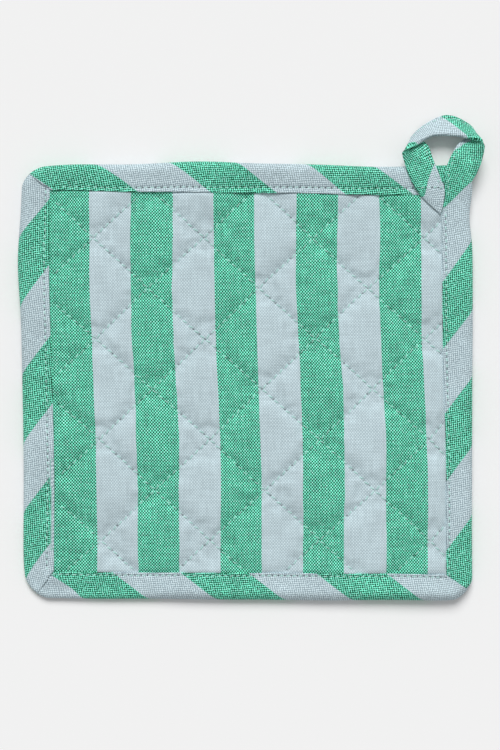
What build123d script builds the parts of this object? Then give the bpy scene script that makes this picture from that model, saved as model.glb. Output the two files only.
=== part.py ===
from build123d import *
import os
from math import atan2, ceil, cos, degrees, floor, hypot, radians, sin, sqrt

# A square quilted pot holder: two striped cotton covers over one layer of wadding, quilted
# through in diamonds and bound with bias tape. The tape's tail makes the hanging loop.
# The pad lies face up on a table. +Z is up and +Y runs towards the edge with the loop.
# Solids are drawn about the pad's centre and then moved, so that the origin is the middle
# of the whole footprint, loop included, at table height. Lengths are in millimetres.

# Pad
PAD_WIDTH = 210.0            # along X, over the binding
PAD_LENGTH = 202.0           # along Y, over the binding
CORNER_RADIUS = 6.5          # corners of the binding, seen from the front
SEAM_THICKNESS = 4.8         # covers and wadding where they are sewn flat
FRONT_PUFF = 2.7             # rise of a quilted cell above the seams on the front
BACK_PUFF = 1.7              # drop of a quilted cell below the seams on the back
COVER_PLY = 0.6              # thickness of one cover
PLY_CLEARANCE = 0.05         # between layers that lie on each other

# Quilting
DIAMOND_WIDTH = 50.8         # one quilted diamond along X
DIAMOND_LENGTH = 46.6        # one quilted diamond along Y
CROSSING_X = 6.5             # a crossing of two stitch lines, from the pad's centre
CROSSING_Y = -3.0
CHANNEL_RISE = 0.1           # a stitched channel's floor stands this far off the seam level
BACK_CHANNEL_HALF = 7.0      # from a stitch line to the flat of a cell on the back
EDGE_ROLL = 9.0              # over which the quilted cells fall to the binding
EDGE_TUCK = 0.2              # how far they fall past the seam level at the binding
EDGE_LIFT = 0.3              # how far outside the cells' crowns the edge roll starts
THREAD_DIAMETER = 0.5
THREAD_SIDES = 6             # flats round a thread
THREAD_CLEARANCE = 0.05      # between a thread and the cloth that it lies on

# Binding
BINDING_WIDTH = 12.5         # of tape showing on each face
BINDING_PLY = 1.0            # tape with its folded hem
BINDING_ROUND = 2.2          # of the tape's fold over the pad's edge
ROUND_LIMIT = 0.45           # largest share of the binding's height that each fold may take
MITRE_DEPTH = 0.5            # of the crease where the tape folds round a corner
TOPSTITCH_INSET = 1.8        # from the tape's inner edge to its row of stitches

# Hanging loop
LOOP_RADIUS = 18.5           # of the loop's outer edge, seen from the front
LOOP_CENTRE_IN = 14.3        # centre of the eye, inwards of the pad's right edge
LOOP_CENTRE_OUT = 5.9        # centre of the eye, beyond the pad's top edge
LOOP_WIDTH = 11.0            # of the folded and stitched tape
LOOP_THICKNESS = 2.0
LOOP_FLOOR_GAP = 0.3         # under the arch as it lies on the table
ARCH_LEAN = 32.0             # degrees that the tape leans up across the arch
ROLL_START = 45.0            # degrees from the top of the arch, where the tape starts to roll
ROLL_END = 105.0             # degrees from the top of the arch, where it lies flat again
SECTION_STEP = 5.0           # degrees between the sections of the loop
LEFT_LEG_IN = 20.3           # inner edge of the left leg, inwards of the pad's right edge
LEFT_LEG_WIDTH = 10.8
RIGHT_LEG_IN = 11.5          # inner edge of the right leg, inwards of the pad's right edge
RIGHT_LEG_WIDTH = 13.0
LEG_LEAN = 3.6               # sideways run of the left leg's sewn end
SEWN_LENGTH = 13.3           # of the left leg's end, sewn down on the binding
TAIL_LENGTH = 17.0           # of the tape's tail, from leaving the binding to the pad's edge
TAIL_SLOPE = 9.0             # over which the tail climbs to the height of the left leg
FOLD_RADIUS = 2.0            # of the soft fold on which the loop bends
JOINT_CLEARANCE = 0.3        # between the loop and what it bends against

# Heights above the table
SEAM_UNDER = BACK_PUFF
SEAM_TOP = SEAM_UNDER + SEAM_THICKNESS
SEAM_MIDDLE = SEAM_UNDER + SEAM_THICKNESS / 2
CROWN = SEAM_TOP + FRONT_PUFF
BINDING_UNDER = SEAM_UNDER - PLY_CLEARANCE - BINDING_PLY
BINDING_TOP = SEAM_TOP + PLY_CLEARANCE + BINDING_PLY
LEG_UNDER = BINDING_TOP + PLY_CLEARANCE
LEG_TOP = LEG_UNDER + LOOP_THICKNESS

# Places in the plan, from the pad's centre
RIGHT_EDGE = PAD_WIDTH / 2
TOP_EDGE = PAD_LENGTH / 2
WINDOW_WIDTH = PAD_WIDTH - 2 * BINDING_WIDTH
WINDOW_LENGTH = PAD_LENGTH - 2 * BINDING_WIDTH
EYE_X = RIGHT_EDGE - LOOP_CENTRE_IN
EYE_Y = TOP_EDGE + LOOP_CENTRE_OUT
HINGE_Y = TOP_EDGE + FOLD_RADIUS + JOINT_CLEARANCE
HINGE_Z = (LEG_UNDER + LEG_TOP) / 2
LEFT_LEG = (RIGHT_EDGE - LEFT_LEG_IN - LEFT_LEG_WIDTH, RIGHT_EDGE - LEFT_LEG_IN)
RIGHT_LEG = (RIGHT_EDGE - RIGHT_LEG_IN, RIGHT_EDGE - RIGHT_LEG_IN + RIGHT_LEG_WIDTH)

# From the pad's centre to the middle of the whole footprint
FOOTPRINT_X = (LOOP_RADIUS - LOOP_CENTRE_IN) / 2
FOOTPRINT_Y = (LOOP_RADIUS + LOOP_CENTRE_OUT) / 2
TO_FOOTPRINT = Location((-FOOTPRINT_X, -FOOTPRINT_Y, 0))

# The two families of stitch lines slant alike, one rising to the right and one falling
SLANT = atan2(DIAMOND_LENGTH, DIAMOND_WIDTH)
LINE_SPACING = DIAMOND_WIDTH * sin(SLANT)
RISING, FALLING = 1, -1
QUILT_REACH = hypot(WINDOW_WIDTH, WINDOW_LENGTH) / 2


# Quilting lines

def line_direction(family):
    return cos(SLANT), family * sin(SLANT)


def line_normal(family):
    return -family * sin(SLANT), cos(SLANT)


def line_offsets(family):
    """Distances of the family's stitch lines from the pad's centre, past both corners."""
    across = line_normal(family)
    first = across[0] * CROSSING_X + across[1] * CROSSING_Y
    low = floor((-QUILT_REACH - first) / LINE_SPACING)
    high = ceil((QUILT_REACH - first) / LINE_SPACING)
    return [first + number * LINE_SPACING for number in range(low, high + 1)]


def across_plane(family):
    """Plane across the family's lines: X is the distance from the centre and Y is height."""
    return Plane(origin=(0, 0, 0), x_dir=(*line_normal(family), 0), z_dir=(*line_direction(family), 0))


def stitch_line_ends(family, offset):
    """The two ends of a stitch line inside the binding, or None where it misses the window."""
    run, across = line_direction(family), line_normal(family)
    half = (WINDOW_WIDTH / 2 - THREAD_DIAMETER, WINDOW_LENGTH / 2 - THREAD_DIAMETER)
    start, end = -2 * QUILT_REACH, 2 * QUILT_REACH
    for axis in (0, 1):
        limits = [(side * half[axis] - offset * across[axis]) / run[axis] for side in (-1, 1)]
        start, end = max(start, min(limits)), min(end, max(limits))
    if end - start < 2 * THREAD_DIAMETER:
        return None
    return [tuple(offset * across[axis] + at * run[axis] for axis in (0, 1)) for at in (start, end)]


# Quilted surfaces

def roll_radius(run, drop):
    """Radius of an arc that leaves level ground and falls by the drop over the run."""
    return (run**2 + drop**2) / (2 * drop)


def puffed_prism(family, valley, crown):
    """Long ridge vaults between neighbouring stitch lines, down to the middle of the pad."""
    offsets = line_offsets(family)
    with BuildPart() as prism:
        with BuildSketch(across_plane(family)):
            with BuildLine():
                for left, right in zip(offsets, offsets[1:]):
                    ThreePointArc((left, valley), ((left + right) / 2, crown), (right, valley))
                Polyline(
                    (offsets[-1], valley),
                    (offsets[-1], SEAM_MIDDLE),
                    (offsets[0], SEAM_MIDDLE),
                    (offsets[0], valley),
                )
            make_face()
        extrude(amount=QUILT_REACH, both=True)
    return prism.part


def channelled_prism(family, valley, flat):
    """Flat ridges with rolled sides that rise into each stitch line, for the underside."""
    offsets = line_offsets(family)
    rise = valley - flat
    radius = roll_radius(BACK_CHANNEL_HALF, rise)
    half_turn = atan2(BACK_CHANNEL_HALF, radius - rise) / 2
    middle_out = radius * sin(half_turn)
    middle_up = radius * (1 - cos(half_turn))
    with BuildPart() as prism:
        with BuildSketch(across_plane(family)):
            with BuildLine():
                for left, right in zip(offsets, offsets[1:]):
                    flat_left = left + BACK_CHANNEL_HALF
                    flat_right = right - BACK_CHANNEL_HALF
                    ThreePointArc(
                        (left, valley), (flat_left - middle_out, flat + middle_up), (flat_left, flat)
                    )
                    Line((flat_left, flat), (flat_right, flat))
                    ThreePointArc(
                        (flat_right, flat), (flat_right + middle_out, flat + middle_up), (right, valley)
                    )
                Polyline(
                    (offsets[-1], valley),
                    (offsets[-1], SEAM_MIDDLE),
                    (offsets[0], SEAM_MIDDLE),
                    (offsets[0], valley),
                )
            make_face()
        extrude(amount=QUILT_REACH, both=True)
    return prism.part


def rolled_prism(plane, span, edge, level):
    """A level slab whose two ends roll to the edge height, where the binding holds the cover."""
    half = span / 2
    drop = level - edge
    radius = roll_radius(EDGE_ROLL, abs(drop))
    half_turn = atan2(EDGE_ROLL, radius - abs(drop)) / 2
    flat = half - EDGE_ROLL
    middle = flat + radius * sin(half_turn)
    middle_height = level - (drop / abs(drop)) * radius * (1 - cos(half_turn))
    with BuildPart() as prism:
        with BuildSketch(plane):
            with BuildLine():
                ThreePointArc((-half, edge), (-middle, middle_height), (-flat, level))
                Line((-flat, level), (flat, level))
                ThreePointArc((flat, level), (middle, middle_height), (half, edge))
                Polyline((half, edge), (half, SEAM_MIDDLE), (-half, SEAM_MIDDLE), (-half, edge))
            make_face()
        extrude(amount=QUILT_REACH, both=True)
    return prism.part


def rounded_slab(width, length, radius, low, high):
    slab = extrude(RectangleRounded(width, length, radius), high - low)
    return Pos(0, 0, low) * slab


def sandwich_slab(low, high):
    """The flat layers out to the fold of the binding."""
    inset = BINDING_PLY + PLY_CLEARANCE
    return rounded_slab(
        PAD_WIDTH - 2 * inset, PAD_LENGTH - 2 * inset, CORNER_RADIUS - inset, low, high
    )


def quilted_front(depth):
    """Everything between the pad's middle and a surface that lies depth below the front."""
    valley = SEAM_TOP + CHANNEL_RISE - depth
    edge = SEAM_TOP - EDGE_TUCK - depth
    cells = puffed_prism(RISING, valley, CROWN - depth) & puffed_prism(FALLING, valley, CROWN - depth)
    cells &= rolled_prism(Plane.XZ, WINDOW_WIDTH, edge, CROWN + EDGE_LIFT - depth)
    cells &= rolled_prism(Plane.YZ, WINDOW_LENGTH, edge, CROWN + EDGE_LIFT - depth)
    return sandwich_slab(SEAM_MIDDLE, SEAM_TOP - depth) + cells


def quilted_back(depth):
    """Everything between the pad's middle and a surface that lies depth above the back."""
    valley = SEAM_UNDER - CHANNEL_RISE + depth
    edge = SEAM_UNDER + EDGE_TUCK + depth
    cells = channelled_prism(RISING, valley, depth) & channelled_prism(FALLING, valley, depth)
    cells &= rolled_prism(Plane.XZ, WINDOW_WIDTH, edge, depth - EDGE_LIFT)
    cells &= rolled_prism(Plane.YZ, WINDOW_LENGTH, edge, depth - EDGE_LIFT)
    return sandwich_slab(SEAM_UNDER + depth, SEAM_MIDDLE) + cells


def make_front_cover():
    return quilted_front(0) - quilted_front(COVER_PLY)


def make_back_cover():
    return quilted_back(0) - quilted_back(COVER_PLY)


def make_wadding():
    depth = COVER_PLY + PLY_CLEARANCE
    return quilted_front(depth) + quilted_back(depth)


# Threads

def thread_bar(start, end, height):
    """A many-sided length of thread between two points of the plan."""
    base = Plane(
        origin=(*start, height), x_dir=(0, 0, 1), z_dir=(end[0] - start[0], end[1] - start[1], 0)
    )
    section = base * RegularPolygon(THREAD_DIAMETER / 2, THREAD_SIDES)
    return extrude(section, hypot(end[0] - start[0], end[1] - start[1]))


def make_quilting_thread(floor_height, outwards):
    """All quilting stitches on one face: the falling rows cross over the rising ones."""
    step = THREAD_DIAMETER + THREAD_CLEARANCE
    height = {
        RISING: floor_height + outwards * step,
        FALLING: floor_height + outwards * 2 * step,
    }
    rows = []
    for family in (RISING, FALLING):
        for offset in line_offsets(family):
            ends = stitch_line_ends(family, offset)
            if ends:
                rows.append(thread_bar(*ends, height[family]))
    return Compound([row.solid() for row in rows])


def topstitch_corner():
    """Half the size of the rectangle that the binding's topstitching runs round."""
    inset = BINDING_WIDTH - TOPSTITCH_INSET
    return RIGHT_EDGE - inset, TOP_EDGE - inset


def topstitch_bar(start, end, height):
    """A straight row of topstitching, lengthened to meet the next row at a corner."""
    length = hypot(end[0] - start[0], end[1] - start[1])
    ahead = [(b - a) / length * THREAD_DIAMETER / 2 for a, b in zip(start, end)]
    start = (start[0] - ahead[0], start[1] - ahead[1])
    end = (end[0] + ahead[0], end[1] + ahead[1])
    return thread_bar(start, end, height)


def make_binding_thread_front():
    """Topstitching from the loop's sewn end round the pad to the tape's tail."""
    x, y = topstitch_corner()
    height = BINDING_TOP + THREAD_DIAMETER / 2 + THREAD_CLEARANCE
    over_leg = LEG_TOP + THREAD_DIAMETER / 2 + THREAD_CLEARANCE
    lean = LEG_LEAN * (TOP_EDGE - y) / SEWN_LENGTH
    leg_left, leg_right = LEFT_LEG[0] + lean, LEFT_LEG[1] + lean
    clear = 2 * THREAD_DIAMETER
    row = topstitch_bar((leg_left - clear, y), (-x, y), height)
    row += topstitch_bar((-x, y), (-x, -y), height)
    row += topstitch_bar((-x, -y), (x, -y), height)
    row += topstitch_bar((x, -y), (x, TOP_EDGE - TAIL_LENGTH - clear), height)
    sewn_down = topstitch_bar((leg_left + clear, y), (leg_right - clear, y), over_leg)
    return Compound([row.solid(), sewn_down.solid()])


def make_binding_thread_back():
    """Topstitching round the whole back of the binding."""
    x, y = topstitch_corner()
    height = BINDING_UNDER - THREAD_DIAMETER / 2 - THREAD_CLEARANCE
    corners = [(x, y), (-x, y), (-x, -y), (x, -y), (x, y)]
    row = None
    for start, end in zip(corners, corners[1:]):
        bar = topstitch_bar(start, end, height)
        row = bar if row is None else row + bar
    return row


# Binding

def mitre_crease(side_x, side_y, height):
    """The V-shaped crease from a corner of the pad to the corner of the panel."""
    middle = BINDING_WIDTH / 2
    width = MITRE_DEPTH * sqrt(2)
    bar = Rot(45, 0, 0) * Box(2 * BINDING_WIDTH, width, width)
    turned = Rot(0, 0, 45 * side_x * side_y) * bar
    reach = Box(2 * BINDING_WIDTH, 2 * BINDING_WIDTH, 2 * width)
    return Pos(side_x * (RIGHT_EDGE - middle), side_y * (TOP_EDGE - middle), height) * (turned & reach)


def make_tape_tail():
    """The end of the binding tape, which leaves the right side and climbs to the loop."""
    foot = TOP_EDGE - TAIL_LENGTH
    profile = Plane.YZ * make_face(
        Polyline(
            (foot, BINDING_TOP - BINDING_PLY / 2),
            (foot, BINDING_TOP),
            (foot + TAIL_SLOPE, LEG_TOP),
            (TOP_EDGE, LEG_TOP),
            (TOP_EDGE, BINDING_TOP - BINDING_PLY / 2),
            close=True,
        )
    )
    slope = Pos(RIGHT_LEG[0] - LEG_LEAN, 0, 0) * extrude(profile, RIGHT_LEG_WIDTH + 2 * LEG_LEAN)
    window_edge = RIGHT_EDGE - BINDING_WIDTH
    plan = make_face(
        Polyline(
            (window_edge, foot),
            (RIGHT_EDGE - BINDING_ROUND, foot),
            (RIGHT_EDGE, foot + TAIL_SLOPE),
            (RIGHT_LEG[1], TOP_EDGE),
            (RIGHT_LEG[0], TOP_EDGE),
            close=True,
        )
    )
    return slope & extrude(plan, LEG_TOP)


def make_edge_binding():
    height = BINDING_TOP - BINDING_UNDER
    tape = rounded_slab(PAD_WIDTH, PAD_LENGTH, CORNER_RADIUS, BINDING_UNDER, BINDING_TOP)
    rims = tape.faces().sort_by(Axis.Z)
    tape = fillet(rims[0].edges() + rims[-1].edges(), min(BINDING_ROUND, ROUND_LIMIT * height))
    tape -= rounded_slab(
        PAD_WIDTH - 2 * BINDING_PLY,
        PAD_LENGTH - 2 * BINDING_PLY,
        CORNER_RADIUS - BINDING_PLY,
        SEAM_UNDER - PLY_CLEARANCE,
        SEAM_TOP + PLY_CLEARANCE,
    )
    tape -= Pos(0, 0, SEAM_MIDDLE) * Box(WINDOW_WIDTH, WINDOW_LENGTH, 2 * height)
    for side_x in (-1, 1):
        for side_y in (-1, 1):
            tape -= mitre_crease(side_x, side_y, BINDING_UNDER)
            if (side_x, side_y) != (1, 1):
                tape -= mitre_crease(side_x, side_y, BINDING_TOP)
    return tape + make_tape_tail()


# Hanging loop

def make_loop_sewn_end():
    """The left leg's end, which lies on the front of the top binding under its stitches."""
    foot = TOP_EDGE - SEWN_LENGTH
    plan = make_face(
        Polyline(
            (LEFT_LEG[0], TOP_EDGE),
            (LEFT_LEG[1], TOP_EDGE),
            (LEFT_LEG[1] + LEG_LEAN, foot),
            (LEFT_LEG[0] + LEG_LEAN, foot),
            close=True,
        )
    )
    return Pos(0, 0, LEG_UNDER) * extrude(plan, LOOP_THICKNESS)


def loop_section(turn):
    """Outline of the tape in the upright plane through the eye, turn degrees from the arch's top.

    Across the arch the tape leans up towards the eye. On each side it rolls over, so that it
    reaches the pad lying flat with its folded edge outwards.
    """
    part_way = min(max((abs(turn) - ROLL_START) / (ROLL_END - ROLL_START), 0), 1)
    rolled = part_way**2 * (3 - 2 * part_way)
    lean = radians(ARCH_LEAN + (180 - ARCH_LEAN) * rolled)
    lowest = LOOP_FLOOR_GAP + (LEG_UNDER - LOOP_FLOOR_GAP) * rolled**2
    half_width, half_thick = LOOP_WIDTH / 2, LOOP_THICKNESS / 2
    radius = LOOP_RADIUS - half_width * abs(cos(lean)) - half_thick * sin(lean)
    height = lowest + half_width * sin(lean) + half_thick * abs(cos(lean))
    corners = []
    for across, through in ((1, 1), (1, -1), (-1, -1), (-1, 1)):
        inward = across * half_width * cos(lean) - through * half_thick * sin(lean)
        up = across * half_width * sin(lean) + through * half_thick * cos(lean)
        out = radius - inward
        corners.append(
            (EYE_X + out * sin(radians(turn)), EYE_Y + out * cos(radians(turn)), height + up)
        )
    return corners


def leg_section(leg, outer):
    """Outline of a leg on the hinge line, with its corners in the order of loop_section."""
    fold, stitched = leg[outer], leg[1 - outer]
    return [
        (fold, HINGE_Y, LEG_UNDER),
        (fold, HINGE_Y, LEG_TOP),
        (stitched, HINGE_Y, LEG_TOP),
        (stitched, HINGE_Y, LEG_UNDER),
    ]


def soft_fold(leg):
    """The rounded end of a leg, centred on the hinge line."""
    half = LOOP_THICKNESS / 2
    back = sqrt(FOLD_RADIUS**2 - half**2)
    plane = Plane(origin=(leg[0], HINGE_Y, HINGE_Z), x_dir=(0, 1, 0), z_dir=(1, 0, 0))
    with BuildPart() as fold:
        with BuildSketch(plane):
            with BuildLine():
                Polyline((-back, -half), (0, -half), (0, half), (-back, half))
                ThreePointArc((-back, half), (-FOLD_RADIUS, 0), (-back, -half))
            make_face()
        extrude(amount=leg[1] - leg[0])
    return fold.part


def faceted_ribbon(outlines):
    """A closed solid through four-cornered outlines, with two flat facets on each twisted side."""
    skin = [make_face(Polyline(*outline, close=True)) for outline in (outlines[0], outlines[-1])]
    for near, far in zip(outlines, outlines[1:]):
        for corner in range(len(near)):
            after = (corner + 1) % len(near)
            skin.append(make_face(Polyline(near[corner], near[after], far[after], close=True)))
            skin.append(make_face(Polyline(near[corner], far[after], far[corner], close=True)))
    return Solid(Shell(skin))


def make_hanging_loop():
    steps = round((ROLL_END - SECTION_STEP) / SECTION_STEP)
    outlines = [leg_section(LEFT_LEG, 0)]
    outlines += [loop_section(step * SECTION_STEP) for step in range(-steps, steps + 1)]
    outlines += [leg_section(RIGHT_LEG, 1)]
    return faceted_ribbon(outlines) + soft_fold(LEFT_LEG) + soft_fold(RIGHT_LEG)


# Pieces

def save(node, solid):
    export_step(TO_FOOTPRINT * solid, os.path.join("parts", node + ".step"))


os.makedirs("parts", exist_ok=True)
save("front_cover", make_front_cover())
save("back_cover", make_back_cover())
save("wadding", make_wadding())
save("edge_binding", make_edge_binding())
save("loop_sewn_end", make_loop_sewn_end())
save("hanging_loop", make_hanging_loop())
save("quilting_thread_front", make_quilting_thread(SEAM_TOP + CHANNEL_RISE, 1))
save("quilting_thread_back", make_quilting_thread(SEAM_UNDER - CHANNEL_RISE, -1))
save("binding_thread_front", make_binding_thread_front())
save("binding_thread_back", make_binding_thread_back())

hinge = (EYE_X - FOOTPRINT_X, HINGE_Y - FOOTPRINT_Y, HINGE_Z)
eye = (EYE_X - FOOTPRINT_X, EYE_Y - FOOTPRINT_Y)
pad_centre = (-FOOTPRINT_X, -FOOTPRINT_Y)
flat_cell = (CROSSING_X - DIAMOND_WIDTH / 2 - FOOTPRINT_X, CROSSING_Y - FOOTPRINT_Y)
print("pad centre", [round(value, 3) for value in pad_centre])
print("hinge line through", [round(value, 3) for value in hinge])
print("centre of the eye", [round(value, 3) for value in eye])
print("middle of a flat cell on the underside", [round(value, 3) for value in flat_cell])
print("stitch lines slant", round(degrees(SLANT), 2), "degrees,", round(LINE_SPACING, 2), "apart")
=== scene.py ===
import logging
import math
from dataclasses import dataclass, field
from enum import Enum

import bpy
import numpy as np
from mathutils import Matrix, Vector


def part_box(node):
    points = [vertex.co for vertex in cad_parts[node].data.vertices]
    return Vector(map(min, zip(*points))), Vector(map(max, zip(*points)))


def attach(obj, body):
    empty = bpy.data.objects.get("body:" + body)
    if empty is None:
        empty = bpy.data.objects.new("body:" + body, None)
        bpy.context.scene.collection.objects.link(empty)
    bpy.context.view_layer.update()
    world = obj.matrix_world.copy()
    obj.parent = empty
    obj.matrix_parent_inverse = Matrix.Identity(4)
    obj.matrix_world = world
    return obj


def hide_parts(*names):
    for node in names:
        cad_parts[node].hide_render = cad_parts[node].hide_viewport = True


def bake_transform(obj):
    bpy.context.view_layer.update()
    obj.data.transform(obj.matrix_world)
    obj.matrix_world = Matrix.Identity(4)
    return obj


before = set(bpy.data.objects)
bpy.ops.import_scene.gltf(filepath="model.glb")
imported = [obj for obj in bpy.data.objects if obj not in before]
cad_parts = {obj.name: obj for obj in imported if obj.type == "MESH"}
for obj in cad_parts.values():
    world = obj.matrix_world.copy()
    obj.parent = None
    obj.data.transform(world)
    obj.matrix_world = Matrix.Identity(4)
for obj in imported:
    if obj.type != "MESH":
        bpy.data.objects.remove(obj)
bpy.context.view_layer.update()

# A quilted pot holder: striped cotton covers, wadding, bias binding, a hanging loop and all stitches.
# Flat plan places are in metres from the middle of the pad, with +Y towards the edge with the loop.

LOG = logging.getLogger("pot_holder")
MM = 0.001
CLOTH_MAP = "cloth"
# Attribute that marks the needle holes, where the cloth gets painted shade.
NEEDLE_SHADE_MARK = "needle_shade_mark"
PHOTO_PIXEL = 0.4618 * MM
PHOTO_SIZE = (500, 750)
NOISE_RANGE = (0.3, 0.7)
TINY = 1e-9


class Face(Enum):
    """A face of the pad, with the way it looks along Z."""

    FRONT = 1
    BACK = -1


# Shared shapes

class SoftNoise:
    """A smooth unevenness over the plan that is the same on every run."""

    def __init__(
        self, seed: int, wavelength: float, waves: int = 7, spread: tuple[float, float] = (0.6, 1.5)
    ) -> None:
        """Draws the waves.

        Args:
            seed: Number that fixes the draw.
            wavelength: Usual distance between two crests, in metres.
            waves: How many waves are added up.
            spread: Lowest and highest rate of a wave, as shares of the usual one.
        """
        draw = np.random.default_rng(seed)
        turn = draw.uniform(0, 2 * math.pi, waves)
        rate = 2 * math.pi / wavelength * draw.uniform(*spread, waves)
        self.rate_x = rate * np.cos(turn)
        self.rate_y = rate * np.sin(turn)
        self.phase = draw.uniform(0, 2 * math.pi, waves)

    def at(self, x: np.ndarray, y: np.ndarray) -> np.ndarray:
        """Gives the unevenness at plan places.

        Args:
            x: Places along X.
            y: Places along Y.

        Returns:
            Values of about -1 to 1.
        """
        total = np.zeros(np.shape(x))
        for rate_x, rate_y, phase in zip(self.rate_x, self.rate_y, self.phase):
            total += np.sin(rate_x * x + rate_y * y + phase)
        return total / math.sqrt(2 * len(self.phase))


def smooth_step(value: np.ndarray, start: float, end: float) -> np.ndarray:
    """Gives 0 before start, 1 past end and an eased climb between them."""
    share = np.clip((value - start) / (end - start), 0, 1)
    return share**2 * (3 - 2 * share)


def unit(vectors: np.ndarray) -> np.ndarray:
    """Gives the vectors at length 1."""
    return vectors / np.linalg.norm(vectors, axis=-1, keepdims=True)


def grid_faces(rows: int, columns: int) -> np.ndarray:
    """Gives the four-cornered faces of a grid of points, as rows of point numbers."""
    first = (np.arange(rows - 1)[:, None] * columns + np.arange(columns - 1)).ravel()
    return np.stack([first, first + 1, first + columns + 1, first + columns], axis=1)


def mesh_object(name: str, points: np.ndarray, faces: list, cloth: np.ndarray) -> bpy.types.Object:
    """Makes a smooth-shaded object with a cloth map.

    Args:
        name: Name of the piece.
        points: Places of the points, one row each.
        faces: Point numbers of each face.
        cloth: Flat place on the cloth of each point, in metres.

    Returns:
        The new object, linked to the scene.
    """
    mesh = bpy.data.meshes.new(name)
    mesh.from_pydata(points.tolist(), [], faces)
    corners = np.empty(len(mesh.loops), int)
    mesh.loops.foreach_get("vertex_index", corners)
    layer = mesh.uv_layers.new(name=CLOTH_MAP)
    layer.data.foreach_set("uv", cloth[corners].astype(np.float32).ravel())
    mesh.polygons.foreach_set("use_smooth", np.ones(len(mesh.polygons), bool))
    made = bpy.data.objects.new(name, mesh)
    bpy.context.scene.collection.objects.link(made)
    return made


def mark_needle_shade(piece: bpy.types.Object, depth: np.ndarray) -> None:
    """Marks how far each point of a piece lies in a needle hole, from 0 to 1."""
    # The material paints shade into the needle holes by this mark.
    mark = piece.data.attributes.new(NEEDLE_SHADE_MARK, "FLOAT", "POINT")
    mark.data.foreach_set("value", depth.astype(np.float32))


def apply_modifiers(piece: bpy.types.Object) -> None:
    """Turns a piece with modifiers into the plain mesh that they give.

    Args:
        piece: The piece, which keeps its name and place.
    """
    evaluated = piece.evaluated_get(bpy.context.evaluated_depsgraph_get())
    shaped = bpy.data.meshes.new_from_object(evaluated)
    piece.modifiers.clear()
    piece.data = shaped


def weld(piece: bpy.types.Object, distance: float = 0.002 * MM) -> None:
    """Joins points of a piece that lie on each other.

    Args:
        piece: The piece.
        distance: How far apart joined points may lie.
    """
    modifier = piece.modifiers.new("weld", "WELD")
    modifier.merge_threshold = distance
    apply_modifiers(piece)


def tube_faces(rows: int, columns: int, first: int = 0) -> list:
    """Gives the faces of a tube of rings, closed at both ends.

    Args:
        rows: How many rings the tube has.
        columns: How many points a ring has, with its first point again at its end.
        first: Number of the tube's first point.

    Returns:
        The point numbers of each face.
    """
    ring = np.arange(columns - 1) + first
    ends = [ring[::-1].tolist(), (ring + (rows - 1) * columns).tolist()]
    return (grid_faces(rows, columns) + first).tolist() + ends


def interpolate(places: np.ndarray, run: np.ndarray, vectors: np.ndarray) -> np.ndarray:
    """Reads vectors that are known at each run, at other places along it."""
    return np.stack([np.interp(places, run, part) for part in vectors.T], axis=1)


def settle(piece: bpy.types.Object, body: str, finish: bpy.types.Material, slot: str, *nodes: str) -> None:
    """Makes a piece ride on a body, and dresses it."""
    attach(piece, body)
    dress(piece, finish, slot, *nodes)


def dress(piece: bpy.types.Object, finish: bpy.types.Material, slot: str, *nodes: str) -> None:
    """Gives a piece its finish, hides the nodes that it replaces and reports it.

    Args:
        piece: The piece in its final shape.
        finish: The material that it shows.
        slot: The record's material slot for that finish; not used.
        *nodes: The nodes that the piece stands for.
    """
    piece.data.materials.append(finish)
    if nodes:
        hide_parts(*nodes)
    LOG.info("%s: %d points, %d faces", piece.name, len(piece.data.vertices), len(piece.data.polygons))


# Finishes

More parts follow.
